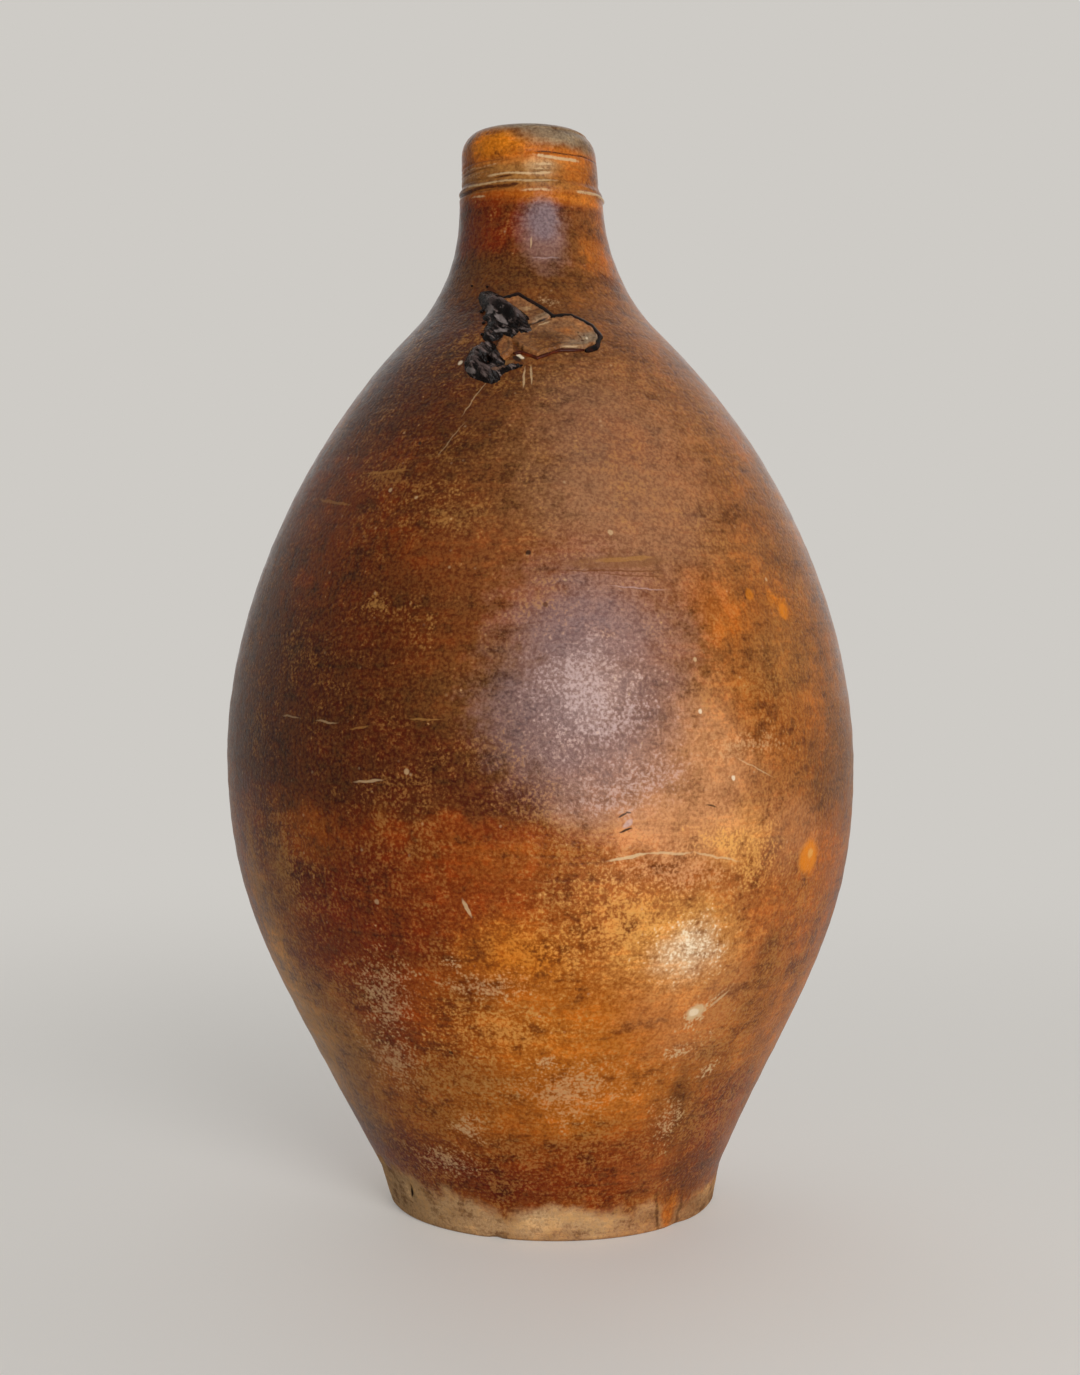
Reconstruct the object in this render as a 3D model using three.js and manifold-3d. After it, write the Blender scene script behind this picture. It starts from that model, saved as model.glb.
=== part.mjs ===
// A large salt-glazed stoneware jug: an egg-shaped body thrown in two halves, a thrown neck
// with a reeded collar, and a pulled strap handle. A scar of kiln slag lies on its shoulder.
// Millimetres, +Z up. The origin is on the standing plane, under the middle of the belly.
// -Y is the front, which carries the scar. +Y is the back, which carries the handle.

import * as THREE from "three";
import { mergeVertices } from "three/addons/utils/BufferGeometryUtils.js";
import Module from "manifold-3d";

const wasm = await Module();
wasm.setup();

const radians = THREE.MathUtils.degToRad;
const QUARTER_TURN = Math.PI / 2;

// The foot, cut flat from the wheel, and the floor above it.
const FOOT_EDGE_RADIUS = 61;
const FOOT_TOP_RADIUS = 64.3;
const FOOT_HEIGHT = 14;
const FOOT_BEVEL = 1.6;
const FLOOR_THICKNESS = 12;
const FLOOR_FILLET = 14;

// The belly: how far it rises from the foot, and how the two curves that meet at it are pulled.
const LOWER_RISE = 151.5;
const LOWER_ANGLE = radians(24.6);
const LOWER_PULL = 77.5;
const BELLY_RADIUS = 117.1;
const BELLY_PULL_BELOW = 58.8;
const BELLY_PULL_ABOVE = 55.1;

// The shoulder, up to where it stops swelling and starts to sweep into the neck.
const SHOULDER_RISE = 160.5;
const SHOULDER_RADIUS = 46;
const SHOULDER_ANGLE = radians(44.8);
const SHOULDER_PULL = 60.8;
const SHOULDER_SWEEP = 4.1;

// The neck and its mouth.
const NECK_RISE = 49;
const NECK_RADIUS = 26.9;
const NECK_PULL = 29;
const BORE_RADIUS = 15.5;

// The collar: a bead at its foot, reeds above it, and a thick rounded lip.
const BEAD_RADIUS = 27.3;
const BEAD_HEIGHT = 3.4;
const COLLAR_RADIUS = 25.9;
const COLLAR_TAPER = 0.7;
const REED_COUNT = 4;
const REED_PITCH = 2.9;
const GROOVE_WIDTH = 1.5;
const GROOVE_DEPTH = 0.7;
const LIP_WIDTH = 8.2;
const LIP_HEIGHT = 10;
const LIP_INNER_ROUND = 3;

// The clay wall, square to its surface, from the floor to the neck's root.
const WALL = 7.5;

// The luted seams between the thrown sections: a ridge on the lower rim in a groove in the upper.
const BELLY_SEAM_DROP = 25;
const NECK_SEAM_RISE = 6;
const RIDGE_WIDTH = 3;
const RIDGE_HEIGHT = 2;
const SLIP_GAP = 0.3;

// The whole jug slumped a little in the kiln: its foot stands off to +X and its mouth to -X.
const SWAY = 4.7;
const SWAY_STRAIGHT_SHARE = 0.35;

// The strap handle, from under the collar to the shoulder, at the back.
const HANDLE_DROP = 10;
const HANDLE_LENGTH = 65;
const HANDLE_REACH = 40;
const HANDLE_RISE = 12;
const HANDLE_BOW = 24;
const HANDLE_FALL = 47;
const HANDLE_WIDTH = 29;
const HANDLE_THICKNESS = 11;
const HANDLE_ROOT_FLARE = 0.4;
const HANDLE_FLUTE_WIDTH = 10;
const HANDLE_FLUTE_DEPTH = 1.2;
const HANDLE_ROOT_DEPTH = 7;

// The kiln scar, below the neck's top: two lumps of slag, and a flake with its outline seen
// from the front, as offsets to the side and up.
const SCAR_DROP = 55;
const UPPER_SLAG = { side: -11.6, rise: 6.8, turn: radians(-44), length: 24, width: 9, height: 5 };
const LOWER_SLAG = { side: -17, rise: -13.4, turn: radians(-30), length: 15, width: 9.5, height: 5.4 };
const FLAKE_THICKNESS = 1.2;
const FLAKE_OUTLINE = [
  [-12.5, 13.2],
  [-7.5, 13.6],
  [0, 8.4],
  [4.6, 4.8],
  [10.6, 5.4],
  [17.6, 1.7],
  [20.4, -2.1],
  [18.9, -5.8],
  [15, -7.2],
  [7, -7.1],
  [-1, -10.2],
  [-6.2, -7.5],
  [-9.5, -3],
];

// How finely the round forms are divided.
const SEGMENTS = 48;
const LOWER_ROWS = 12;
const UPPER_ROWS = 16;
const NECK_ROWS = 8;
const INNER_ROWS = 8;
const LIP_STEPS = 6;
const STRAP_STEPS = 22;
const STRAP_SIDES = 18;
const SLOPE_STEP = 0.5;

// Heights above the standing plane.
const BELLY_HEIGHT = FOOT_HEIGHT + LOWER_RISE;
const SHOULDER_HEIGHT = BELLY_HEIGHT + SHOULDER_RISE;
const NECK_HEIGHT = SHOULDER_HEIGHT + NECK_RISE;
const REEDS_HEIGHT = NECK_HEIGHT + BEAD_HEIGHT;
const LIP_FOOT_HEIGHT = REEDS_HEIGHT + REED_COUNT * REED_PITCH;
const HEIGHT = LIP_FOOT_HEIGHT + LIP_HEIGHT;
const BELLY_SEAM_HEIGHT = BELLY_HEIGHT - BELLY_SEAM_DROP;
const NECK_SEAM_HEIGHT = SHOULDER_HEIGHT + NECK_SEAM_RISE;
const SCAR_HEIGHT = NECK_HEIGHT - SCAR_DROP;

// The finishes.
const rustGlaze = new THREE.MeshStandardMaterial({ color: 0x84491f, roughness: 0.42 });
const brownGlaze = new THREE.MeshStandardMaterial({ color: 0x66432a, roughness: 0.38 });
const collarGlaze = new THREE.MeshStandardMaterial({ color: 0xa8703a, roughness: 0.45 });
const handleGlaze = new THREE.MeshStandardMaterial({ color: 0x5e3c24, roughness: 0.4 });
const flakeGlaze = new THREE.MeshStandardMaterial({ color: 0x8a6642, roughness: 0.5 });
const slagGlass = new THREE.MeshStandardMaterial({ color: 0x332925, roughness: 0.3 });

// The outer outline, as curves of radius against height.
const point = (radius, height) => new THREE.Vector2(radius, height);
const pulled = (start, angle, pull) =>
  point(start.x + pull * Math.sin(angle), start.y + pull * Math.cos(angle));
const footTop = point(FOOT_TOP_RADIUS, FOOT_HEIGHT);
const belly = point(BELLY_RADIUS, BELLY_HEIGHT);
const shoulder = point(SHOULDER_RADIUS, SHOULDER_HEIGHT);
const neckTop = point(NECK_RADIUS, NECK_HEIGHT);
const outerCurves = [
  new THREE.LineCurve(point(FOOT_EDGE_RADIUS, 0), footTop),
  new THREE.CubicBezierCurve(
    footTop,
    pulled(footTop, LOWER_ANGLE, LOWER_PULL),
    pulled(belly, 0, -BELLY_PULL_BELOW),
    belly,
  ),
  new THREE.CubicBezierCurve(
    belly,
    pulled(belly, 0, BELLY_PULL_ABOVE),
    pulled(shoulder, -SHOULDER_ANGLE, -SHOULDER_PULL),
    shoulder,
  ),
  new THREE.CubicBezierCurve(
    shoulder,
    pulled(shoulder, -SHOULDER_ANGLE, SHOULDER_SWEEP),
    pulled(neckTop, 0, -NECK_PULL),
    neckTop,
  ),
];

// The outer radius at a height up to the neck's top, found by halving along the curve there.
function outerRadius(height) {
  const curve = outerCurves.find((c) => height <= c.getPoint(1).y) ?? outerCurves.at(-1);
  let low = 0;
  let high = 1;
  for (let i = 0; i < 40; i++) {
    const middle = (low + high) / 2;
    if (curve.getPoint(middle).y < height) low = middle;
    else high = middle;
  }
  return curve.getPoint(high).x;
}

// The outer surface's slope at a height: how much wider it gets per millimetre of rise.
function outerSlope(height) {
  const above = Math.min(height + SLOPE_STEP, NECK_HEIGHT);
  const below = Math.max(height - SLOPE_STEP, 0);
  return (outerRadius(above) - outerRadius(below)) / (above - below);
}

// How much longer a wall is when measured level than when measured square to its surface.
function levelFactor(height) {
  return Math.hypot(1, outerSlope(height));
}

// The inner radius at a height: the wall thickens up the neck until it leaves the bore.
function innerRadius(height) {
  const share = THREE.MathUtils.smoothstep(height, NECK_SEAM_HEIGHT, NECK_HEIGHT);
  const thickness = THREE.MathUtils.lerp(WALL, NECK_RADIUS - BORE_RADIUS, share);
  return outerRadius(height) - thickness * levelFactor(height);
}

// Points at even heights between two levels, on the outer or the inner surface.
function rows(from, to, count, radiusAt) {
  return Array.from({ length: count + 1 }, (_, i) => {
    const height = from + ((to - from) * i) / count;
    return point(radiusAt(height), height);
  });
}

// Points round part of an ellipse, from one angle to another.
function arc(centre, width, rise, from, to, steps) {
  return Array.from({ length: steps + 1 }, (_, i) => {
    const angle = from + ((to - from) * i) / steps;
    return point(centre.x + width * Math.cos(angle), centre.y + rise * Math.sin(angle));
  });
}

// The sideways shift of the jug's axis at a height.
function sway(height) {
  const t = (2 * height) / HEIGHT - 1;
  return -SWAY * (SWAY_STRAIGHT_SHARE * t + (1 - SWAY_STRAIGHT_SHARE) * t ** 3);
}

// Shifts every vertex with the axis at its height.
function slump(geometry) {
  const position = geometry.getAttribute("position");
  for (let i = 0; i < position.count; i++) {
    position.setX(i, position.getX(i) + sway(position.getZ(i)));
  }
  return geometry;
}

// A round form: a closed profile turned about the jug's axis, then slumped.
function thrown(profile) {
  return slump(new THREE.LatheGeometry(profile, SEGMENTS).rotateX(QUARTER_TURN));
}

function piece(name, geometry, material) {
  const mesh = new THREE.Mesh(geometry, material);
  mesh.name = name;
  return mesh;
}

// A closed geometry as a solid, for cutting.
function solidOf(geometry) {
  const bare = geometry.clone();
  bare.deleteAttribute("normal");
  bare.deleteAttribute("uv");
  const merged = mergeVertices(bare, 1e-3);
  return new wasm.Manifold(
    new wasm.Mesh({
      numProp: 3,
      vertProperties: merged.getAttribute("position").array,
      triVerts: new Uint32Array(merged.index.array),
    }),
  );
}

// A solid as a geometry again.
function geometryOf(cut) {
  const mesh = cut.getMesh();
  const geometry = new THREE.BufferGeometry();
  geometry.setAttribute("position", new THREE.BufferAttribute(mesh.vertProperties, 3));
  geometry.setIndex(new THREE.BufferAttribute(mesh.triVerts, 1));
  geometry.computeVertexNormals();
  return geometry;
}

// The middle of the wall at a seam, where the ridge and its groove lie.
function seamMiddle(height) {
  return (outerRadius(height) + innerRadius(height)) / 2;
}

// The ridge on a lower rim, listed from the outside in.
function ridge(height) {
  const middle = seamMiddle(height);
  return [
    point(middle + RIDGE_WIDTH / 2, height),
    point(middle, height + RIDGE_HEIGHT),
    point(middle - RIDGE_WIDTH / 2, height),
  ];
}

// The groove in an upper rim, listed from the inside out, with room for slip over the ridge.
function ridgeGroove(height) {
  const middle = seamMiddle(height);
  const half = RIDGE_WIDTH / 2 + SLIP_GAP;
  return [
    point(middle - half, height),
    point(middle, height + RIDGE_HEIGHT + SLIP_GAP),
    point(middle + half, height),
  ];
}

// The lower half, thrown with the floor in one piece.
function lowerBody() {
  const inside = FLOOR_THICKNESS + FLOOR_FILLET;
  const filletCentre = point(innerRadius(inside) - FLOOR_FILLET, inside);
  const profile = [
    point(0, 0),
    point(FOOT_EDGE_RADIUS - FOOT_BEVEL, 0),
    point(outerRadius(FOOT_BEVEL), FOOT_BEVEL),
    ...rows(FOOT_HEIGHT, BELLY_SEAM_HEIGHT, LOWER_ROWS, outerRadius),
    ...ridge(BELLY_SEAM_HEIGHT),
    ...rows(BELLY_SEAM_HEIGHT, inside, INNER_ROWS, innerRadius),
    ...arc(filletCentre, FLOOR_FILLET, FLOOR_FILLET, 0, -QUARTER_TURN, 3).slice(1),
    point(0, FLOOR_THICKNESS),
  ];
  return piece("lower_body", thrown(profile), rustGlaze);
}

// The upper half, thrown apart and set rim to rim on the lower one.
function upperBody() {
  const profile = [
    ...rows(BELLY_SEAM_HEIGHT, NECK_SEAM_HEIGHT, UPPER_ROWS, outerRadius),
    ...ridge(NECK_SEAM_HEIGHT),
    ...rows(NECK_SEAM_HEIGHT, BELLY_SEAM_HEIGHT, UPPER_ROWS, innerRadius),
    ...ridgeGroove(BELLY_SEAM_HEIGHT),
  ];
  return piece("upper_body", thrown([...profile, profile[0].clone()]), brownGlaze);
}

// One reed of the collar: a flat land, and the groove over it.
function reed(index) {
  const radius = COLLAR_RADIUS - (COLLAR_TAPER * index) / REED_COUNT;
  const foot = REEDS_HEIGHT + index * REED_PITCH;
  return [
    point(radius, foot + GROOVE_WIDTH / 2),
    point(radius, foot + REED_PITCH - GROOVE_WIDTH / 2),
    point(radius - GROOVE_DEPTH, foot + REED_PITCH),
  ];
}

// The neck, thrown on the shoulder, with its bead, reeds and lip.
function neckAndCollar() {
  const crestRadius = COLLAR_RADIUS - COLLAR_TAPER - LIP_WIDTH;
  const lipFoot = point(crestRadius, LIP_FOOT_HEIGHT + GROOVE_WIDTH / 2);
  const lipInside = point(crestRadius, HEIGHT - LIP_INNER_ROUND);
  const innerWidth = crestRadius - BORE_RADIUS;
  const profile = [
    ...rows(NECK_SEAM_HEIGHT, NECK_HEIGHT, NECK_ROWS, outerRadius),
    point(BEAD_RADIUS, NECK_HEIGHT + BEAD_HEIGHT / 3),
    point(BEAD_RADIUS, NECK_HEIGHT + (2 * BEAD_HEIGHT) / 3),
    point(COLLAR_RADIUS - GROOVE_DEPTH, REEDS_HEIGHT),
    ...Array.from({ length: REED_COUNT }, (_, i) => reed(i)).flat(),
    ...arc(lipFoot, LIP_WIDTH, HEIGHT - lipFoot.y, 0, QUARTER_TURN, LIP_STEPS),
    ...arc(lipInside, innerWidth, LIP_INNER_ROUND, QUARTER_TURN, 2 * QUARTER_TURN, 3).slice(1),
    ...rows(NECK_HEIGHT, NECK_SEAM_HEIGHT, NECK_ROWS, innerRadius),
    ...ridgeGroove(NECK_SEAM_HEIGHT),
  ];
  return piece("neck_and_collar", thrown([...profile, profile[0].clone()]), collarGlaze);
}

// The jug's outside as a filled solid, swollen by a gap, for trimming what is stuck on it.
function filledJug(gap) {
  const swollen = (height) => outerRadius(height) + gap * levelFactor(height);
  const profile = [
    point(0, 0),
    point(swollen(0), 0),
    ...rows(FOOT_HEIGHT, BELLY_SEAM_HEIGHT, LOWER_ROWS, swollen),
    ...rows(BELLY_SEAM_HEIGHT, NECK_SEAM_HEIGHT, UPPER_ROWS, swollen).slice(1),
    ...rows(NECK_SEAM_HEIGHT, NECK_HEIGHT, NECK_ROWS, swollen).slice(1),
    point(BEAD_RADIUS + gap, NECK_HEIGHT + BEAD_HEIGHT / 3),
    point(BEAD_RADIUS + gap, HEIGHT),
    point(0, HEIGHT),
  ];
  return solidOf(thrown(profile));
}

// The seat of everything stuck on the jug: its outside, with room for slip.
const seat = filledJug(SLIP_GAP);

// The strap's middle line, from inside the neck's root, out and down, to inside the shoulder.
function strapLine() {
  const top = NECK_HEIGHT - HANDLE_DROP;
  const foot = top - HANDLE_LENGTH;
  const start = outerRadius(top) - HANDLE_ROOT_DEPTH;
  const end = outerRadius(foot) - HANDLE_ROOT_DEPTH;
  return new THREE.CubicBezierCurve3(
    new THREE.Vector3(0, start, top),
    new THREE.Vector3(0, start + HANDLE_REACH, top + HANDLE_RISE),
    new THREE.Vector3(0, end + HANDLE_BOW, foot + HANDLE_FALL),
    new THREE.Vector3(0, end, foot),
  );
}

// A point of the strap's section: a flat oval, with a shallow flute along its outer face.
function strapSection(angle, spread) {
  const side = (HANDLE_WIDTH / 2) * spread * Math.cos(angle);
  const out = (HANDLE_THICKNESS / 2) * spread * Math.sin(angle);
  const fluteShare = Math.exp(-(((2 * side) / HANDLE_FLUTE_WIDTH) ** 2));
  return { side, out: out - HANDLE_FLUTE_DEPTH * fluteShare * Math.max(Math.sin(angle), 0) };
}

// The pulled strap, spread at both ends where the potter pressed them on.
function strapHandle() {
  const line = strapLine();
  const positions = [];
  for (let i = 0; i <= STRAP_STEPS; i++) {
    const t = i / STRAP_STEPS;
    const centre = line.getPoint(t);
    const tangent = line.getTangent(t);
    const spread = 1 + HANDLE_ROOT_FLARE * Math.abs(2 * t - 1) ** 5;
    for (let j = 0; j < STRAP_SIDES; j++) {
      const { side, out } = strapSection((4 * QUARTER_TURN * j) / STRAP_SIDES, spread);
      positions.push(side, centre.y - out * tangent.z, centre.z + out * tangent.y);
    }
  }
  positions.push(...line.getPoint(0).toArray(), ...line.getPoint(1).toArray());

  const faces = [];
  const corner = (i, j) => i * STRAP_SIDES + (j % STRAP_SIDES);
  const startCap = (STRAP_STEPS + 1) * STRAP_SIDES;
  const endCap = startCap + 1;
  for (let j = 0; j < STRAP_SIDES; j++) {
    for (let i = 0; i < STRAP_STEPS; i++) {
      faces.push(corner(i, j), corner(i + 1, j), corner(i + 1, j + 1));
      faces.push(corner(i, j), corner(i + 1, j + 1), corner(i, j + 1));
    }
    faces.push(startCap, corner(0, j), corner(0, j + 1));
    faces.push(endCap, corner(STRAP_STEPS, j + 1), corner(STRAP_STEPS, j));
  }

  const strap = new THREE.BufferGeometry();
  strap.setAttribute("position", new THREE.Float32BufferAttribute(positions, 3));
  strap.setIndex(faces);
  return piece("strap_handle", geometryOf(solidOf(slump(strap)).subtract(seat)), handleGlaze);
}

// A frame on the front of the jug, at an offset to the side and a height: side, up and outward.
function frontPlace(side, height) {
  const radius = outerRadius(height);
  const azimuth = Math.asin(side / radius);
  const outward = new THREE.Vector3(Math.sin(azimuth), -Math.cos(azimuth), -outerSlope(height));
  const across = new THREE.Vector3(Math.cos(azimuth), Math.sin(azimuth), 0);
  outward.normalize();
  const up = new THREE.Vector3().crossVectors(outward, across);
  const place = new THREE.Matrix4().makeBasis(across, up, outward);
  return place.setPosition(side, -radius * Math.cos(azimuth), height);
}

// A lump of slag: a knobbly pebble, half sunk in the jug's surface.
function pebble(lump, gap) {
  const geometry = new THREE.IcosahedronGeometry(1, 3);
  const position = geometry.getAttribute("position");
  const corner = new THREE.Vector3();
  for (let i = 0; i < position.count; i++) {
    corner.fromBufferAttribute(position, i);
    const knobs = Math.sin(5 * corner.x + 1) * Math.cos(6 * corner.y) + Math.sin(7 * corner.z + 2);
    corner.multiplyScalar(1 + 0.08 * knobs);
    position.setXYZ(i, corner.x, corner.y, corner.z);
  }
  geometry.scale(lump.length / 2 + gap, lump.width / 2 + gap, lump.height + gap);
  geometry.rotateZ(lump.turn);
  geometry.applyMatrix4(frontPlace(lump.side, SCAR_HEIGHT + lump.rise));
  return solidOf(slump(geometry));
}

function slagLump(name, lump) {
  return piece(name, geometryOf(pebble(lump, 0).subtract(seat)), slagGlass);
}

// The flake: a thin crust that follows the shoulder, cut clear of the slag beside it.
function flake() {
  const corners = FLAKE_OUTLINE.map(([side, rise]) => new THREE.Vector2(side, rise));
  const prism = new THREE.ExtrudeGeometry(new THREE.Shape(corners), {
    depth: BELLY_RADIUS,
    bevelEnabled: false,
  });
  prism.rotateX(QUARTER_TURN).translate(0, 0, SCAR_HEIGHT);
  const crust = filledJug(SLIP_GAP + FLAKE_THICKNESS).subtract(seat);
  const cut = solidOf(slump(prism)).intersect(crust).subtract(pebble(UPPER_SLAG, SLIP_GAP));
  return piece("kiln_flake", geometryOf(cut), flakeGlaze);
}

const jug = new THREE.Group();
jug.name = "stoneware_jug";
jug.add(
  lowerBody(),
  upperBody(),
  neckAndCollar(),
  strapHandle(),
  slagLump("kiln_slag_upper", UPPER_SLAG),
  slagLump("kiln_slag_lower", LOWER_SLAG),
  flake(),
);

export default jug;
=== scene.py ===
import math
from bisect import bisect_left

import bmesh
import bpy
from mathutils import Matrix, Vector, noise
from mathutils.geometry import interpolate_bezier


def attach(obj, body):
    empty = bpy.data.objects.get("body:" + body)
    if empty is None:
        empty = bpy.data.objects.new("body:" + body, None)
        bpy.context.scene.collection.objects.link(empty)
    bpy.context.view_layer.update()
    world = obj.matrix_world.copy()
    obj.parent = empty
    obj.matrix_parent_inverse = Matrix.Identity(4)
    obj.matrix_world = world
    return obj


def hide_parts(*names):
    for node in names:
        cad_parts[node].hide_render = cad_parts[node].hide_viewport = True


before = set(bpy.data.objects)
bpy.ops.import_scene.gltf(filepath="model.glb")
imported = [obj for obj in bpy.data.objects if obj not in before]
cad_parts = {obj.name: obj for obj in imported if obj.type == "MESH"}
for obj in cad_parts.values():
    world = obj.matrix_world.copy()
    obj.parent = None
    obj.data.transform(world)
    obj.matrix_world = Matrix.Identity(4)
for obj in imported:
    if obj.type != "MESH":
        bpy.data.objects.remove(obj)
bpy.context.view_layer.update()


# The camera stands where the photograph was taken from: before the jug, a little above its
# belly, and tilted slightly down.
CAMERA_DISTANCE = 0.767
CAMERA_HEIGHT = 0.223
CAMERA_TILT = math.radians(2.243)
CAMERA_LENS = 53.15

camera_data = bpy.data.cameras.new("camera")
camera_data.lens = CAMERA_LENS
camera = bpy.data.objects.new("camera", camera_data)
camera.location = (0, -CAMERA_DISTANCE, CAMERA_HEIGHT)
camera.rotation_euler = (math.pi / 2 - CAMERA_TILT, 0, 0)
bpy.context.collection.objects.link(camera)
bpy.context.scene.camera = camera


# The lower body: grey stoneware clay thrown on the wheel with its floor, cut from the wheel with
# a wire, and glazed by salt thrown into the kiln. The foot stayed bare where the salt missed it.
JUG_HEIGHT = 0.400
FOOT_EDGE = 0.061
FOOT_HEIGHT = 0.014
FOOT_TOP = 0.0643
FOOT_ROUND = 0.0012
FLOOR = 0.012
FLOOR_FILLET = 0.014
WALL = 0.0075
BELLY = 0.1171
BELLY_HEIGHT = 0.1655
SHOULDER = 0.046
SHOULDER_HEIGHT = 0.326
NECK = 0.0269
NECK_HEIGHT = 0.375
BORE = 0.0155
BELLY_SEAM = 0.1405
NECK_SEAM = 0.332
LEAN = 0.0047
LEAN_STRAIGHT_SHARE = 0.35

# How the outline bends: degrees from upright, and how far each curve's end pulls along them.
LOWER_ANGLE = 24.6
LOWER_PULL = 0.0775
BELLY_PULL_BELOW = 0.0588
BELLY_PULL_ABOVE = 0.0551
SHOULDER_ANGLE = -44.8
SHOULDER_PULL = 0.0608
SHOULDER_SWEEP = 0.0041
NECK_PULL = 0.029

CURVE_POINTS = 400
RUN_SAMPLES = 600
TURN_STEPS = 288
OUTER_STEP = 0.00125
INNER_STEP = 0.004
ROUND_STEPS = 6
SHARP_TURN = math.radians(50)


def pulled(point, degrees, pull):
    """The handle of a curve's end: a point, moved by a pull at an angle from upright."""
    angle = math.radians(degrees)
    return point + Vector((pull * math.sin(angle), 0, pull * math.cos(angle)))


def outer_outline():
    """The outside up to the neck's top: heights and radii, bottom to top."""
    foot = Vector((FOOT_TOP, 0, FOOT_HEIGHT))
    belly = Vector((BELLY, 0, BELLY_HEIGHT))
    shoulder = Vector((SHOULDER, 0, SHOULDER_HEIGHT))
    neck = Vector((NECK, 0, NECK_HEIGHT))
    below_shoulder = pulled(shoulder, SHOULDER_ANGLE, -SHOULDER_PULL)
    above_shoulder = pulled(shoulder, SHOULDER_ANGLE, SHOULDER_SWEEP)
    stretches = [
        (foot, pulled(foot, LOWER_ANGLE, LOWER_PULL), pulled(belly, 0, -BELLY_PULL_BELOW), belly),
        (belly, pulled(belly, 0, BELLY_PULL_ABOVE), below_shoulder, shoulder),
        (shoulder, above_shoulder, pulled(neck, 0, -NECK_PULL), neck),
    ]
    points = [Vector((FOOT_EDGE, 0, 0))]
    for stretch in stretches:
        points += interpolate_bezier(*stretch, CURVE_POINTS)
    return [p.z for p in points], [p.x for p in points]


OUTLINE_HEIGHTS, OUTLINE_RADII = outer_outline()


def outer_radius(height):
    """The outside's radius at a height, up to the neck's top."""
    i = min(max(bisect_left(OUTLINE_HEIGHTS, height), 1), len(OUTLINE_HEIGHTS) - 1)
    low, high = OUTLINE_HEIGHTS[i - 1], OUTLINE_HEIGHTS[i]
    share = (height - low) / max(high - low, 1e-9)
    share = min(max(share, 0), 1)
    return OUTLINE_RADII[i - 1] + share * (OUTLINE_RADII[i] - OUTLINE_RADII[i - 1])


def outer_slope(height, reach=0.0005):
    """How much wider the outside gets for each metre of rise."""
    high = min(height + reach, NECK_HEIGHT)
    low = max(height - reach, 0)
    return (outer_radius(high) - outer_radius(low)) / (high - low)


def smooth_share(value, low, high):
    """0 below low, 1 above high, and a smooth rise between."""
    share = min(max((value - low) / (high - low), 0), 1)
    return share * share * (3 - 2 * share)


def inner_radius(height):
    """The inside's radius: an even wall, thicker up the neck until it leaves the bore."""
    share = smooth_share(height, NECK_SEAM, NECK_HEIGHT)
    thickness = WALL + (NECK - BORE - WALL) * share
    return outer_radius(height) - thickness * math.hypot(1, outer_slope(height))


def run(radius_at, low, high, step):
    """Points of a side from one height to another, evenly spaced along the clay."""
    heights = [low + (high - low) * i / RUN_SAMPLES for i in range(RUN_SAMPLES + 1)]
    radii = [radius_at(height) for height in heights]
    lengths = [0.0]
    for i in range(RUN_SAMPLES):
        lengths.append(lengths[-1] + math.hypot(heights[i + 1] - heights[i], radii[i + 1] - radii[i]))
    rows = math.ceil(lengths[-1] / step)
    picked = [low]
    for row in range(1, rows):
        i = bisect_left(lengths, lengths[-1] * row / rows)
        picked.append(heights[i])
    return [(radius_at(height), height) for height in [*picked, high]]


def lean(height):
    """How far the jug's axis stands to the side at a height, since it slumped in the kiln."""
    t = 2 * height / JUG_HEIGHT - 1
    return -LEAN * (LEAN_STRAIGHT_SHARE * t + (1 - LEAN_STRAIGHT_SHARE) * t**3)


def degrees_round(point):
    """Degrees round from the front, positive to the right."""
    return math.degrees(math.atan2(point.x, -point.y))


def hump(value, middle, half):
    """1 at the middle, falling smoothly to nothing about twice the half width away."""
    return math.exp(-(((value - middle) / half) ** 2))


# Chips and a slit in the foot's edge: degrees round, height, half width, half height, depth.
FOOT_CHIPS = [
    (-20, 0.0, 0.0022, 0.0016, 0.0015),
    (-53, 0.012, 0.0009, 0.0030, 0.0022),
    (48, 0.0, 0.0050, 0.0020, 0.0010),
    (96, 0.0, 0.0045, 0.0030, 0.0016),
    (163, 0.0, 0.0070, 0.0026, 0.0014),
    (-118, 0.0, 0.0040, 0.0022, 0.0012),
]

# Lines that the potter's tool and fingers left on the collar: height, depth (raised where it is
# below nothing), half width, from and to degrees round, and how far the line wanders.
COLLAR_LINES = [
    (0.3757, 0.0010, 0.00055, -178, -6, 0.0003),
    (0.3775, -0.0004, 0.00055, -178, 30, 0.0003),
    (0.3747, -0.0007, 0.00050, 30, 112, 0.0002),
    (0.3796, 0.0006, 0.00040, -150, -8, 0.0002),
    (0.3805, -0.0004, 0.00040, -60, 30, 0.0002),
    (0.3824, 0.0004, 0.00040, -175, 60, 0.0003),
    (0.3842, 0.0004, 0.00035, -175, -25, 0.0003),
    (0.3858, 0.0004, 0.00035, -160, -10, 0.0003),
    (0.3795, 0.0007, 0.00060, 75, 179, 0.0004),
    (0.3830, 0.0006, 0.00060, 90, 179, 0.0004),
    (0.3868, 0.0006, 0.00060, 85, 179, 0.0004),
]
LINE_FADE = 14
# The ledge across the lip's right side: its height, depth and half width, and the degrees round
# over which it starts and ends.
LEDGE_HEIGHT = 0.3878
LEDGE_DEPTH = 0.0006
LEDGE_HALF = 0.0002
LEDGE_START = (-6, 10)
LEDGE_END = (60, 100)
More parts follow.
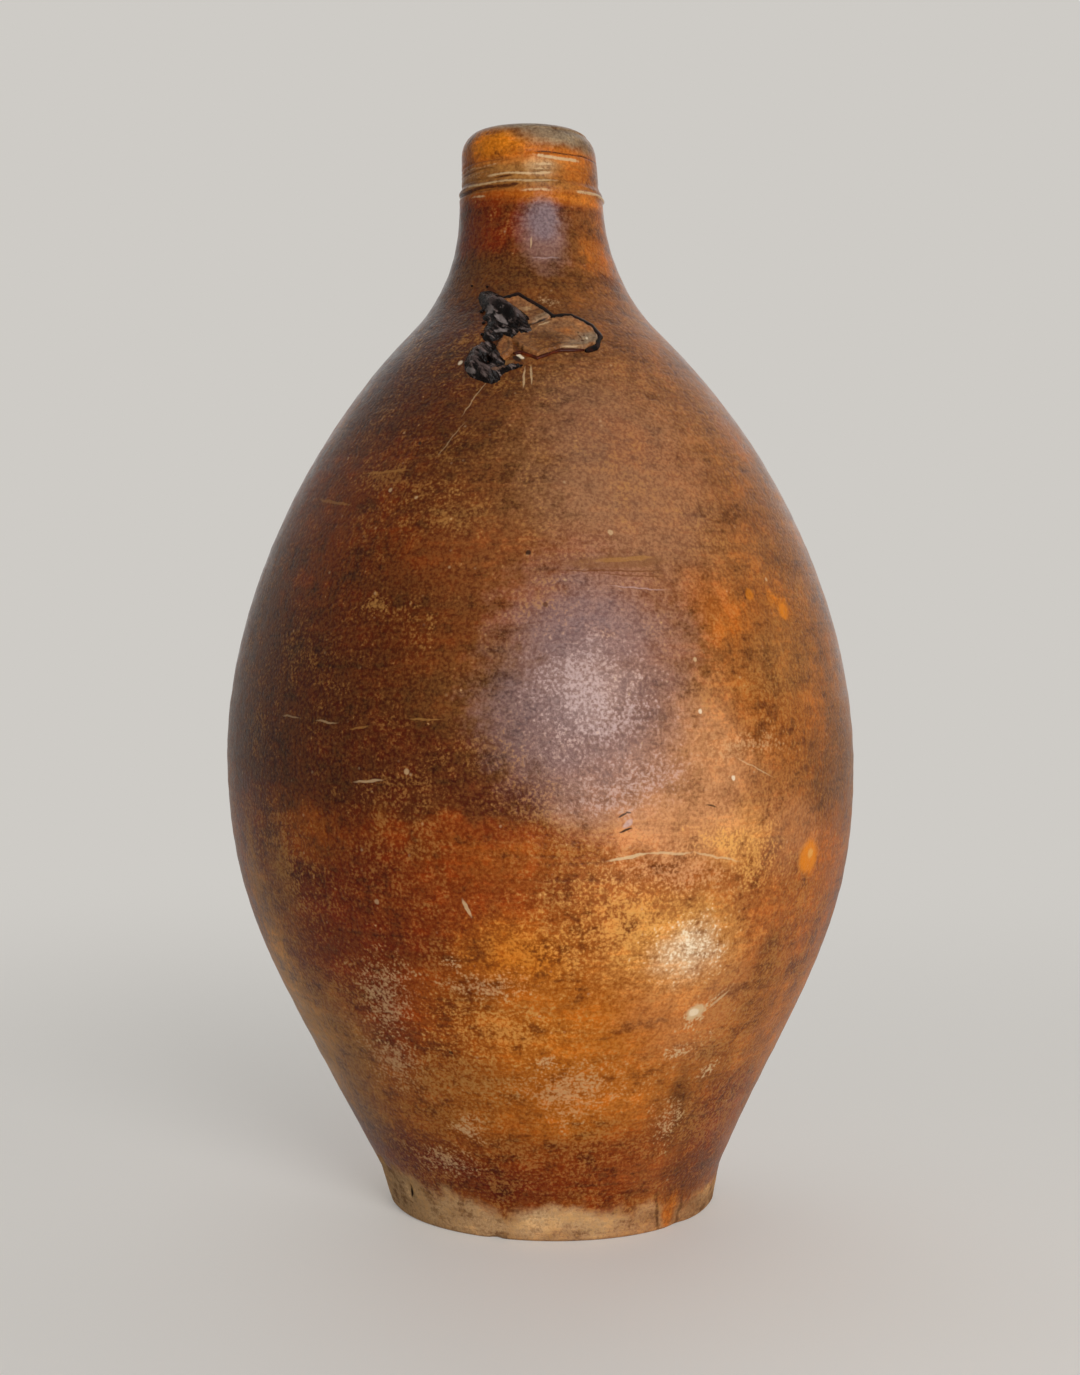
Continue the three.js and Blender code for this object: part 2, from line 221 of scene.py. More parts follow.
# What the wheel and the firing left on the clay: how deep the wheel's rings, the skin's roughness
# and the dents are, and how many waves each has to the metre, round the jug and up it. The body's
# dents are deeper than the neck's.
RING_DEPTH = 0.00016
RING_WAVES = (9, 210)
FINE_RING_DEPTH = 0.00004
FINE_RING_WAVES = (14, 620)
NECK_DENT = 0.00025
BODY_DENT = 0.00035
DENT_WAVES = (16, 13)
DENT_SHIFT = (4, 8, 15)
SKIN_DEPTH = 0.00003
SKIN_WAVES = 330
# Where they lie: outside the bore, the lines on the collar and the chips round the foot.
SKIN_START = (0.0185, 0.0215)
LINES_FROM = 0.370
COLLAR_INSIDE = 0.022
CHIPS_UP_TO = 0.02
FOOT_INSIDE = 0.05


def faded(round_by, first, last, fade):
    """1 between two turns round the jug, falling to nothing at them."""
    return smooth_share(round_by, first, first + fade) * smooth_share(-round_by, -last, fade - last)


def tool_lines(round_by, height):
    """How far the lines on the collar stand out of its wall or cut into it."""
    relief = 0.0
    for level, depth, half, first, last, wander in COLLAR_LINES:
        fade = faded(round_by, first, last, LINE_FADE)
        if fade:
            wave = math.sin(math.radians(round_by) * 3 + level * 9000)
            relief -= fade * depth * hump(height, level + wander * wave, half)
    return relief


def lip_ledge(round_by, height):
    """How far the lip's right side lies back above the ledge that crosses it."""
    full, gone = LEDGE_END
    share = smooth_share(round_by, *LEDGE_START) * smooth_share(-round_by, -gone, -full)
    return -LEDGE_DEPTH * share * smooth_share(height, LEDGE_HEIGHT - LEDGE_HALF, LEDGE_HEIGHT + LEDGE_HALF)


def clay_noise(point, around, up, shift=(0, 0, 0)):
    """Noise on the clay, with so many waves to the metre round the jug and up it."""
    return noise.noise(Vector((point.x * around, point.y * around, point.z * up)) + Vector(shift))


def as_fired(point):
    """Where a point of the plain turned form lies on the fired jug: wheel rings, dents, chips
    and the slump. Every thrown section goes through it, so that their seams meet exactly."""
    radius = math.hypot(point.x, point.y)
    if radius < 1e-6:
        return Vector((lean(point.z), 0, point.z))
    height = point.z
    outside = smooth_share(radius, *SKIN_START)
    rings = clay_noise(point, *RING_WAVES)
    fine_rings = clay_noise(point, *FINE_RING_WAVES)
    dents = clay_noise(point, *DENT_WAVES, DENT_SHIFT)
    skin = noise.noise(point * SKIN_WAVES)
    body = smooth_share(NECK_HEIGHT - height, 0.0, 0.03)
    out = outside * (RING_DEPTH * rings + FINE_RING_DEPTH * fine_rings + SKIN_DEPTH * skin)
    out += outside * dents * (NECK_DENT + BODY_DENT * body)
    if height > LINES_FROM and radius > COLLAR_INSIDE:
        out += tool_lines(degrees_round(point), height) + lip_ledge(degrees_round(point), height)
    if height < CHIPS_UP_TO and radius > FOOT_INSIDE:
        round_by = degrees_round(point)
        for middle, level, half, tall, depth in FOOT_CHIPS:
            gap = math.remainder(round_by - middle, 360)
            across = math.radians(gap) * radius
            out -= depth * hump(across, 0, half) * hump(height, level, tall)
    share = 1 + out / radius
    return Vector((point.x * share + lean(height), point.y * share, height))


def thrown(name, outline, closed):
    """A thrown section: its outline turned once round the axis, then fired."""
    mesh = bmesh.new()
    corners = [mesh.verts.new((radius, 0, height)) for radius, height in outline]
    ends = corners[1:] + corners[:1] if closed else corners[1:]
    edges = [mesh.edges.new(pair) for pair in zip(corners, ends)]
    bmesh.ops.spin(
        mesh, geom=corners + edges, cent=(0, 0, 0), axis=(0, 0, 1),
        angle=2 * math.pi, steps=TURN_STEPS, use_merge=True,
    )
    bmesh.ops.remove_doubles(mesh, verts=mesh.verts, dist=1e-6)
    bmesh.ops.recalc_face_normals(mesh, faces=mesh.faces)
    return finished(name, mesh, as_fired)


def finished(name, mesh, move=None):
    """A piece made from a modelled mesh: smooth, with its real edges kept sharp."""
    for edge in mesh.edges:
        edge.smooth = edge.calc_face_angle(0) < SHARP_TURN
    for face in mesh.faces:
        face.smooth = True
    if move:
        for vert in mesh.verts:
            vert.co = move(vert.co)
    data = bpy.data.meshes.new(name)
    mesh.to_mesh(data)
    mesh.free()
    piece = bpy.data.objects.new(name, data)
    bpy.context.collection.objects.link(piece)
    return piece


def seen(red, green, blue):
    """A colour as it is seen, in parts of 255, as the light that a shader works in."""
    def light(part):
        share = part / 255
        return share / 12.92 if share <= 0.04045 else ((share + 0.055) / 1.055) ** 2.4
    return (light(red), light(green), light(blue), 1)


class Nodes:
    """Shader nodes of a material or the world, joined up step by step."""

    def __init__(self, owner):
        owner.use_nodes = True
        self.tree = owner.node_tree

    def node(self, kind, inputs, output=0, **settings):
        made = self.tree.nodes.new(kind)
        for name, value in settings.items():
            setattr(made, name, value)
        for socket, value in inputs.items():
            self.feed(made.inputs[socket], value)
        return made.outputs[output]

    def feed(self, socket, value):
        if isinstance(value, bpy.types.NodeSocket):
            self.tree.links.new(value, socket)
        else:
            socket.default_value = value

    def math(self, operation, first, second=0.0):
        return self.node("ShaderNodeMath", {0: first, 1: second}, operation=operation)

    def plus(self, first, second):
        return self.math("ADD", first, second)

    def minus(self, first, second):
        return self.math("SUBTRACT", first, second)

    def times(self, first, second):
        return self.math("MULTIPLY", first, second)

    def weighed(self, *parts):
        """The sum of some values, each with its weight."""
        total = self.times(*parts[0])
        for part in parts[1:]:
            total = self.plus(total, self.times(*part))
        return total

    def shown(self):
        """1 where the camera sees a surface, by itself, mirrored or through glass."""
        rays = self.tree.nodes.new("ShaderNodeLightPath").outputs
        direct = self.math("MAXIMUM", rays["Is Camera Ray"], rays["Is Glossy Ray"])
        return self.math("MAXIMUM", direct, rays["Is Transmission Ray"])


class Recipe(Nodes):
    """A material's recipe, built up coat by coat on the jug's own coordinates."""

    def __init__(self, name):
        self.material = bpy.data.materials.new(name)
        super().__init__(self.material)
        self.shader = self.tree.nodes["Principled BSDF"]
        self.place = self.tree.nodes.new("ShaderNodeTexCoord").outputs["Object"]

    def shade(self, **values):
        """Feed the shader's own sockets, with _ for the spaces in their names."""
        for name, value in values.items():
            self.feed(self.shader.inputs[name.replace("_", " ")], value)

    def bumped(self, relief):
        """Let a relief, in millimetres, tilt the surface."""
        inputs = {"Height": relief, "Distance": 0.001, "Strength": 1.0}
        self.shade(Normal=self.node("ShaderNodeBump", inputs))

    def vector(self, operation, first, second=(0, 0, 0), output=0):
        return self.node("ShaderNodeVectorMath", {0: first, 1: second}, output, operation=operation)

    def scaled(self, place, scale):
        return self.node("ShaderNodeMapping", {"Vector": place, "Scale": scale})

    def axis(self, place, number):
        """One coordinate of a place: 0 to the side, 1 back, 2 up."""
        return self.node("ShaderNodeSeparateXYZ", {0: place}, number)

    def noise(self, place, size, detail=2.0, roughness=0.5, output=0):
        """Noise with features of about the given size in metres."""
        inputs = {"Vector": place, "Scale": 1 / size, "Detail": detail, "Roughness": roughness}
        return self.node("ShaderNodeTexNoise", inputs, output)

    def swayed(self, place, size, reach, detail, roughness):
        """A place moved about by noise, by up to half its reach each way."""
        tones = self.noise(place, size, detail, roughness, output=1)
        sway = self.vector("SUBTRACT", tones, (0.5, 0.5, 0.5))
        return self.vector("ADD", place, self.vector("MULTIPLY", sway, reach))

    def share(self, value, low, high, bottom=0.0, top=1.0):
        """A value stretched between two limits, with a smooth start and end."""
        inputs = {"Value": value, "From Min": low, "From Max": high, "To Min": bottom, "To Max": top}
        return self.node("ShaderNodeMapRange", inputs, interpolation_type="SMOOTHSTEP", clamp=False)

    def blend(self, share, under, over, mode="MIX"):
        inputs = {0: share, 6: under, 7: over}
        return self.node("ShaderNodeMix", inputs, 2, data_type="RGBA", blend_type=mode)

    def coated(self, colour, tone, value, start, full, strength=1.0):
        """A colour under a coat that starts to show where a value passes start."""
        return self.blend(self.share(value, start, full, 0, strength), colour, tone)

    def tinted(self, colour, tint):
        return self.blend(1.0, colour, tint, "MULTIPLY")

    def levels(self, height, tones):
        """Tones by height, one running into the next."""
        lowest, highest = tones[0][0], tones[-1][0]
        inputs = {"Value": height, "From Min": lowest, "From Max": highest}
        made = self.tree.nodes.new("ShaderNodeValToRGB")
        self.feed(made.inputs[0], self.node("ShaderNodeMapRange", inputs))
        stops = made.color_ramp.elements
        for i, (level, tone) in enumerate(tones):
            at = (level - lowest) / (highest - lowest)
            stop = stops[0] if i == 0 else stops[1] if i == 1 else stops.new(at)
            stop.position = at
            stop.color = tone
        return made.outputs[0]

    def patch(self, place, spot, wide, tall, turn=0.0):
        """1 at a spot on the jug, falling to nothing at an ellipse's edge round it."""
        degrees, height = spot
        angle = math.radians(degrees)
        radius = outer_radius(min(height, NECK_HEIGHT))
        inputs = {
            "Vector": place,
            "Location": (lean(height) + radius * math.sin(angle), -radius * math.cos(angle), height),
            "Rotation": (0, -math.radians(turn), angle),
            "Scale": (wide, max(wide, tall, 0.006), tall),
        }
        local = self.node("ShaderNodeMapping", inputs, vector_type="TEXTURE")
        return self.node("ShaderNodeTexGradient", {0: local}, 1, gradient_type="SPHERICAL")

    def painted(self, colour, place, patches, start, full, spread=1.0, edge=None):
        """A colour with patches laid over it in turn. A patch starts to show where its cover passes
        start, and shows fully at full. Their edges follow the given edge noise."""
        for tone, degrees, height, wide, tall, turn, strength in patches:
            cover = self.patch(place, (degrees, height), wide * spread, tall * spread, turn)
            if edge is not None:
                cover = self.plus(cover, edge)
            colour = self.coated(colour, tone, cover, start, full, strength)
        return colour


ORANGE = seen(178, 96, 24)
BRIGHT_ORANGE = seen(222, 128, 22)
GOLD = seen(226, 164, 84)
AMBER = seen(164, 96, 28)
RUST = seen(148, 74, 16)
EMBER = seen(132, 52, 7)
DEEP_RED = seen(106, 32, 5)
OXBLOOD = seen(78, 24, 6)
DARK_BROWN = seen(72, 32, 12)
UMBER = seen(104, 58, 24)
SMOKED_BROWN = seen(110, 68, 34)
DUN = seen(124, 80, 46)
CHAR = seen(26, 14, 10)
TAN = seen(170, 120, 62)
CREAM = seen(205, 172, 128)
CHALK = seen(240, 220, 188)
OLIVE = seen(128, 92, 52)
HAZY_SHEEN = seen(150, 118, 116)
BLUE_SHEEN = seen(124, 112, 124)
ASH_GREY = seen(138, 124, 104)
SHEEN = seen(196, 170, 166)
PEACH = seen(206, 146, 100)
FLAME = seen(184, 104, 26)
SMOKE_AND_SHADE_TINT = seen(196, 144, 98)
LEFT_EDGE_SHADE = seen(184, 150, 126)
WARM_CLAY = seen(178, 110, 56)
CLAY_SHEEN = seen(172, 126, 100)

# The glaze's tone by height: the bare clay of the foot, the orange lower half, the browner smoked
# upper half, and the orange collar with its paler tool lines.
GLAZE_LEVELS = [
    (0.000, CREAM),
    (0.008, CREAM),
    (0.012, RUST),
    (0.018, EMBER),
    (0.028, EMBER),
    (0.040, RUST),
    (0.055, FLAME),
    (0.090, FLAME),
    (0.110, RUST),
    (0.148, RUST),
    (0.163, SMOKED_BROWN),
    (0.215, SMOKED_BROWN),
    (0.250, DUN),
    (0.285, SMOKED_BROWN),
    (0.315, UMBER),
    (0.352, UMBER),
    (0.367, OXBLOOD),
    (0.3695, EMBER),
    (0.3710, BRIGHT_ORANGE),
    (0.3735, ORANGE),
    (0.3765, TAN),
    (0.3830, TAN),
    (0.3870, ORANGE),
    (0.3920, AMBER),
    (0.400, TAN),
]

# Soft patches of the glaze: tone, degrees round from the front, height, half width, half height,
# turn in degrees, and how strongly the tone shows.
PATCHES = [
    (PEACH, 24, 0.150, 0.022, 0.010, -6, 0.50),
    (PEACH, 29, 0.178, 0.016, 0.020, 0, 0.55),
    (OXBLOOD, -46, 0.205, 0.044, 0.034, 0, 0.75),
    (UMBER, -72, 0.230, 0.040, 0.070, 0, 0.50),
    (OXBLOOD, -26, 0.172, 0.038, 0.015, 6, 0.90),
    (OXBLOOD, -9, 0.162, 0.026, 0.010, -4, 0.85),
    (EMBER, -12, 0.1490, 0.036, 0.0040, 0, 0.75),
    (ORANGE, -44, 0.148, 0.018, 0.010, -14, 0.35),
    (DEEP_RED, -30, 0.124, 0.030, 0.018, 0, 0.85),
    (EMBER, -14, 0.126, 0.030, 0.014, 0, 0.75),
    (FLAME, 2, 0.110, 0.030, 0.014, 0, 0.60),
    (TAN, -56, 0.066, 0.026, 0.036, 0, 0.75),
    (GOLD, -68, 0.078, 0.018, 0.034, 0, 0.72),
    (GOLD, -62, 0.118, 0.012, 0.026, 12, 0.45),
    (TAN, -84, 0.066, 0.028, 0.026, 0, 0.45),
    (AMBER, -96, 0.092, 0.034, 0.026, 0, 0.50),
    (WARM_CLAY, -78, 0.130, 0.020, 0.040, 0, 0.35),
    (TAN, -52, 0.128, 0.010, 0.022, 0, 0.35),
    (AMBER, -28, 0.054, 0.030, 0.020, 0, 0.55),
    (WARM_CLAY, 22, 0.126, 0.036, 0.026, 0, 0.60),
    # Pale gold glaze with a painted highlight on it, low on the right front: the next two patches.
    (GOLD, 25, 0.111, 0.024, 0.016, 0, 0.55),
    (CHALK, 26, 0.109, 0.012, 0.010, 0, 0.50),
    (GOLD, 33, 0.148, 0.018, 0.009, 0, 0.42),
    (PEACH, 17, 0.156, 0.028, 0.012, -6, 0.50),
    (BRIGHT_ORANGE, 53, 0.137, 0.0050, 0.0066, 0, 0.90),
    (ORANGE, 60, 0.130, 0.0180, 0.0200, 0, 0.50),
    (ORANGE, 33, 0.222, 0.012, 0.012, 0, 0.55),
    (BRIGHT_ORANGE, 51, 0.222, 0.0040, 0.0050, 0, 0.65),
    (ORANGE, 46, 0.200, 0.026, 0.036, 0, 0.45),
    (ORANGE, 23, 0.278, 0.009, 0.008, 0, 0.35),
    (ORANGE, 60, 0.284, 0.010, 0.010, 0, 0.35),
    (OLIVE, 48, 0.206, 0.020, 0.014, 0, 0.45),
    (UMBER, 62, 0.165, 0.022, 0.018, 0, 0.50),
    (OXBLOOD, -40, 0.300, 0.036, 0.034, 0, 0.45),
    (EMBER, -48, 0.255, 0.030, 0.026, 0, 0.45),
    (EMBER, 14, 0.036, 0.034, 0.010, 0, 0.40),
    (DEEP_RED, -14, 0.0200, 0.018, 0.0100, 0, 0.85),
    (OXBLOOD, 50, 0.026, 0.016, 0.016, 0, 0.65),
    (UMBER, 40, 0.052, 0.012, 0.020, 20, 0.60),
    (UMBER, 33, 0.050, 0.0030, 0.0200, 12, 0.55),
    (UMBER, 28, 0.0400, 0.0030, 0.0260, 5, 0.30),
    (EMBER, 52, 0.0450, 0.0160, 0.0150, 0, 0.80),
    (CREAM, -48, 0.0110, 0.0150, 0.0060, -12, 0.80),
    (CREAM, 6, 0.0060, 0.0200, 0.0050, 0, 0.70),
    (EMBER, 19, 0.0150, 0.0090, 0.0060, 0, 0.85),
    (DARK_BROWN, 46, 0.1060, 0.0065, 0.0040, 0, 0.65),
    (UMBER, 49, 0.088, 0.0100, 0.0180, 24, 0.50),
    (ORANGE, 43, 0.0080, 0.0036, 0.0060, 0, 0.80),
    (DARK_BROWN, 37, 0.0070, 0.0010, 0.0080, 6, 0.70),
    (DARK_BROWN, 48, 0.0080, 0.0010, 0.0070, 10, 0.65),
    (DEEP_RED, -38, 0.3600, 0.0180, 0.0110, 0, 0.95),
    (UMBER, -30, 0.3420, 0.0200, 0.0090, 0, 0.60),
    (UMBER, 27, 0.3580, 0.0035, 0.0090, 0, 0.60),
    (ORANGE, 56, 0.3500, 0.0095, 0.0120, 0, 0.70),
    (BRIGHT_ORANGE, -34, 0.3925, 0.0130, 0.0052, 0, 0.95),
    (ASH_GREY, 20, 0.3955, 0.0130, 0.0042, 0, 0.80),
    (ASH_GREY, 50, 0.3945, 0.0130, 0.0042, 0, 0.90),
    (ASH_GREY, 0, 0.4000, 0.0170, 0.0036, 0, 0.95),
    (OLIVE, 62, 0.3925, 0.0070, 0.0026, 0, 0.60),
    (DARK_BROWN, -9, 0.3945, 0.0030, 0.0012, -20, 0.60),
    (CREAM, 10, 0.3825, 0.0060, 0.0034, 0, 0.50),
    (ORANGE, 50, 0.3800, 0.0130, 0.0050, 0, 0.80),
    (UMBER, 76, 0.3800, 0.0070, 0.0080, 0, 0.60),
    (DEEP_RED, 128, 0.190, 0.050, 0.036, 0, 0.60),
    (OXBLOOD, 175, 0.240, 0.050, 0.026, 0, 0.55),
    (ORANGE, 160, 0.120, 0.050, 0.026, 0, 0.55),
    (TAN, 178, 0.070, 0.036, 0.022, 0, 0.50),
    (DEEP_RED, -125, 0.140, 0.046, 0.024, 0, 0.60),
    (AMBER, -104, 0.232, 0.030, 0.018, 8, 0.30),
    (RUST, -84, 0.285, 0.022, 0.022, 0, 0.45),
    (TAN, 112, 0.062, 0.030, 0.020, 0, 0.50),
]

# Painted sheen: the broad reflection of the key light on the glaze of the belly, shoulder and neck, laid
# over the glaze: as above.
KEY_LIGHT_SHEEN = [
    (HAZY_SHEEN, 9, 0.200, 0.030, 0.036, 0, 0.55),
    (BLUE_SHEEN, 8, 0.217, 0.020, 0.012, 0, 0.35),
    (BLUE_SHEEN, 0, 0.188, 0.017, 0.018, 0, 0.35),
    (SHEEN, 8, 0.197, 0.013, 0.013, 0, 0.35),
    (HAZY_SHEEN, 10, 0.170, 0.026, 0.012, 8, 0.35),
    (CLAY_SHEEN, 20, 0.266, 0.030, 0.046, 0, 0.42),
    (PEACH, 26, 0.160, 0.030, 0.018, 0, 0.35),
    (PEACH, 47, 0.146, 0.016, 0.012, 0, 0.35),
    (PEACH, 31, 0.090, 0.022, 0.024, 0, 0.28),
    (HAZY_SHEEN, 8, 0.3570, 0.0085, 0.0130, 0, 0.60),
    (BLUE_SHEEN, 9, 0.3630, 0.0060, 0.0075, 0, 0.75),
]

# Worn and crusted patches, with painted glints of the sheen and a painted highlight among them, which break
# up into grains at their edges: as above.
WORN_AND_GLINTS = [
    (CREAM, -32, 0.092, 0.018, 0.014, 50, 0.55),
    (CREAM, -16, 0.1055, 0.0055, 0.0034, -30, 0.75),
    (TAN, -50, 0.134, 0.016, 0.022, 0, 0.75),
    # Painted glints in the belly's sheen: the next three patches.
    (SHEEN, 8, 0.197, 0.020, 0.018, 10, 0.55),
    (SHEEN, 11, 0.184, 0.022, 0.012, 14, 0.40),
    (SHEEN, 14, 0.166, 0.022, 0.008, 12, 0.40),
    (PEACH, 22, 0.136, 0.030, 0.012, 0, 0.60),
    (BRIGHT_ORANGE, -3, 0.108, 0.022, 0.014, 0, 0.50),
    (CREAM, -36, 0.070, 0.016, 0.018, 60, 0.50),
    (CREAM, 4, 0.060, 0.030, 0.010, 0, 0.40),
    (CREAM, -30, 0.028, 0.014, 0.008, 0, 0.55),
    (TAN, -2, 0.090, 0.024, 0.006, 0, 0.55),
    (CREAM, 0, 0.0700, 0.0060, 0.0032, 0, 0.60),
    (CREAM, -20, 0.0440, 0.0100, 0.0050, 0, 0.60),
    (TAN, -20, 0.0620, 0.0260, 0.0150, 0, 0.55),
    (GOLD, 14, 0.118, 0.034, 0.020, 0, 0.50),
    # Pale worn glaze with a painted highlight on it.
    (CHALK, 26, 0.110, 0.0150, 0.0115, 0, 0.95),
    (GOLD, 31, 0.147, 0.0140, 0.0060, 0, 0.75),
    (GOLD, 40, 0.140, 0.0120, 0.0120, 0, 0.50),
    (CREAM, 36, 0.178, 0.0200, 0.0060, 0, 0.30),
    (CREAM, 31, 0.0862, 0.0085, 0.0056, 14, 0.95),
    (CREAM, 36, 0.0905, 0.0075, 0.0014, 38, 0.70),
    (CREAM, 37, 0.0770, 0.0022, 0.0024, 20, 0.75),
    (CREAM, 29, 0.0725, 0.0080, 0.0050, 0, 0.75),
    (CREAM, 38, 0.0620, 0.0060, 0.0036, 30, 0.85),
    (CREAM, 31, 0.0440, 0.0070, 0.0110, 0, 0.60),
    (GOLD, -8, 0.0820, 0.0300, 0.0140, 0, 0.45),
    (CREAM, -10, 0.0980, 0.0180, 0.0050, 0, 0.45),
    (TAN, -30, 0.2220, 0.0080, 0.0040, 0, 0.70),
    (TAN, -21, 0.2190, 0.0040, 0.0050, 0, 0.55),
    (TAN, -36, 0.1980, 0.0060, 0.0040, 0, 0.50),
    (TAN, -18, 0.2560, 0.0240, 0.0080, 0, 0.40),
    (TAN, -32, 0.2660, 0.0260, 0.0060, -6, 0.40),
    (CREAM, 8, 0.3300, 0.0040, 0.0020, -30, 0.50),
    (CREAM, 146, 0.094, 0.012, 0.008, 20, 0.70),
    (CREAM, -142, 0.078, 0.010, 0.007, 0, 0.70),
    (TAN, -95, 0.110, 0.030, 0.016, 0, 0.55),
    (TAN, 100, 0.240, 0.030, 0.012, 0, 0.45),
]

# Thin marks: tone, degrees round, height, half length, half width, turn and strength. They are
# scratches, wiping lines and chips, and one painted glint beside the flake.
MARKS = [
    (CREAM, 14, 0.1424, 0.0085, 0.00070, 10, 0.85),
    (CREAM, 21, 0.1432, 0.0100, 0.00060, -2, 0.70),
    (CREAM, 30, 0.1410, 0.0120, 0.00050, -13, 0.60),
    (CREAM, 37.5, 0.1700, 0.0110, 0.00030, -24, 0.50),
    (CREAM, -17, 0.2950, 0.0110, 0.00030, 64, 0.45),
    (CREAM, -21, 0.2800, 0.0100, 0.00026, 60, 0.35),
    (TAN, -36, 0.2695, 0.0120, 0.00060, 3, 0.55),
    (TAN, -50, 0.2597, 0.0140, 0.00070, -8, 0.50),
    (CREAM, -47, 0.1862, 0.0060, 0.00042, -4, 0.40),
    (CREAM, -38, 0.1850, 0.0060, 0.00046, -4, 0.45),
    (TAN, -31, 0.1836, 0.0050, 0.00050, 8, 0.50),
    (TAN, -19, 0.1870, 0.0070, 0.00045, 0, 0.50),
    (CREAM, -29, 0.1662, 0.0070, 0.00060, 6, 0.60),
    (CREAM, -12.5, 0.1255, 0.0042, 0.00080, -66, 0.75),
    (DUN, 14, 0.2380, 0.0220, 0.00280, 2, 0.60),
    (TAN, 16, 0.2390, 0.0130, 0.00100, 4, 0.45),
    (UMBER, 13, 0.2353, 0.0230, 0.00040, 0, 0.70),
    (UMBER, 17, 0.2338, 0.0130, 0.00036, -2, 0.60),
    (SHEEN, 18, 0.2295, 0.0120, 0.00036, -4, 0.30),
    (CREAM, -3.6, 0.3022, 0.0060, 0.00055, 86, 0.60),
    (CREAM, -1.4, 0.3030, 0.0055, 0.00050, 94, 0.60),
    # A painted glint beside the flake's lower corner.
    (CHALK, -5.3, 0.3100, 0.0019, 0.00080, -35, 0.85),
    (CREAM, -1, 0.3545, 0.0030, 0.00045, 88, 0.55),
    (CREAM, 31, 0.0866, 0.0048, 0.0032, 14, 0.85),
    (CHALK, 30.6, 0.0864, 0.0026, 0.0018, 10, 0.60),
    (CREAM, 36, 0.0900, 0.0060, 0.0007, 38, 0.60),
    (DARK_BROWN, -25, 0.3375, 0.0036, 0.0012, -30, 0.80),
    (DARK_BROWN, -36, 0.3412, 0.0022, 0.0008, -35, 0.70),
    (SHEEN, 8, 0.3490, 0.0060, 0.00040, 0, 0.30),
    (CHAR, 13, 0.1562, 0.0024, 0.00044, 28, 0.85),
    (CHAR, 14, 0.1572, 0.0012, 0.00050, -10, 0.75),
    (CHAR, 13.4, 0.1512, 0.0028, 0.00046, 18, 0.90),
    (SHEEN, 13.8, 0.1535, 0.0026, 0.00130, 40, 0.55),
    (CHAR, 28.5, 0.1580, 0.0030, 0.00040, -20, 0.75),
    (CHAR, -6.2, 0.3091, 0.0024, 0.00120, -30, 0.85),
    (OLIVE, -9.8, 0.3078, 0.0040, 0.00100, 8, 0.80),
    (CHAR, -53, 0.0120, 0.0036, 0.00080, 80, 0.95),
    (CREAM, 120, 0.2100, 0.0180, 0.00050, -12, 0.65),
    (TAN, 168, 0.1760, 0.0240, 0.00080, 3, 0.60),
    (CREAM, -150, 0.2600, 0.0140, 0.00050, 24, 0.65),
    (TAN, -98, 0.1200, 0.0200, 0.00080, -6, 0.60),
]

# Small round pits and pale stuck grains: tone, degrees round, height, half width, strength.
SPOTS = [
    (CHAR, -29, 0.2790, 0.0009, 0.80),
    (CHAR, -2, 0.2410, 0.0011, 0.85),
    (DARK_BROWN, 1, 0.2240, 0.0012, 0.75),
    (CHAR, -20, 0.0730, 0.0010, 0.75),
    (CREAM, -33, 0.2630, 0.0009, 0.65),
    (CREAM, -26, 0.2600, 0.0008, 0.55),
    (CREAM, 14, 0.2480, 0.0012, 0.60),
    (CREAM, 27, 0.2060, 0.0010, 0.65),
    (CHALK, 27, 0.1890, 0.0010, 0.65),
    (CHALK, 33, 0.1670, 0.0011, 0.70),
    (CREAM, 48, 0.2330, 0.0010, 0.60),
    (CREAM, -22, 0.1700, 0.0013, 0.55),
    (CREAM, -29, 0.1260, 0.0012, 0.55),
    (BRIGHT_ORANGE, 53, 0.1372, 0.0078, 0.85),
    (GOLD, 53.6, 0.1384, 0.0024, 0.75),
    (BRIGHT_ORANGE, 51, 0.2220, 0.0040, 0.60),
    (BRIGHT_ORANGE, 42, 0.2275, 0.0026, 0.45),
    (CHALK, -25.2, 0.3083, 0.0011, 0.75),
    (CHALK, -25.0, 0.3292, 0.0008, 0.75),
]

PATCH_SPREAD = 1.9
SOFT_EDGE = 0.62
SOFT_BODY = 1.16
WORN_GLINT_EDGE = 2.10
WORN_GLINT_BODY = 2.66
FLECK_EDGE = 2.46
FLECK_BODY = 2.92
WARP = 0.024
WARP_SIZE = 0.030
FLUTTER = 0.0016
FLUTTER_SIZE = 0.004
GRAIN_TINT = seen(224, 212, 202)
THIN_GLAZE = (1.42, 1.36, 1.22, 1)
THICK_GLAZE = (0.46, 0.38, 0.34, 1)
STREAK = 0.011
STREAK_STRETCH = (0.28, 0.28, 1.0)
WHEEL_LINE = 0.0016
WHEEL_STRETCH = (0.03, 0.03, 1.0)
CLOUD = 0.046
BLOTCH = 0.013
BLOTCH_STRETCH = (0.7, 0.7, 1.0)
MOTTLE = 0.0050
GRAIN = 0.0010
GRANULE = 0.0015
SPECK_SPACING = 0.0042
BARE_LEFT_RISE = 0.012
BARE_WAVE = 0.020
BARE_ROUGHNESS = 0.75


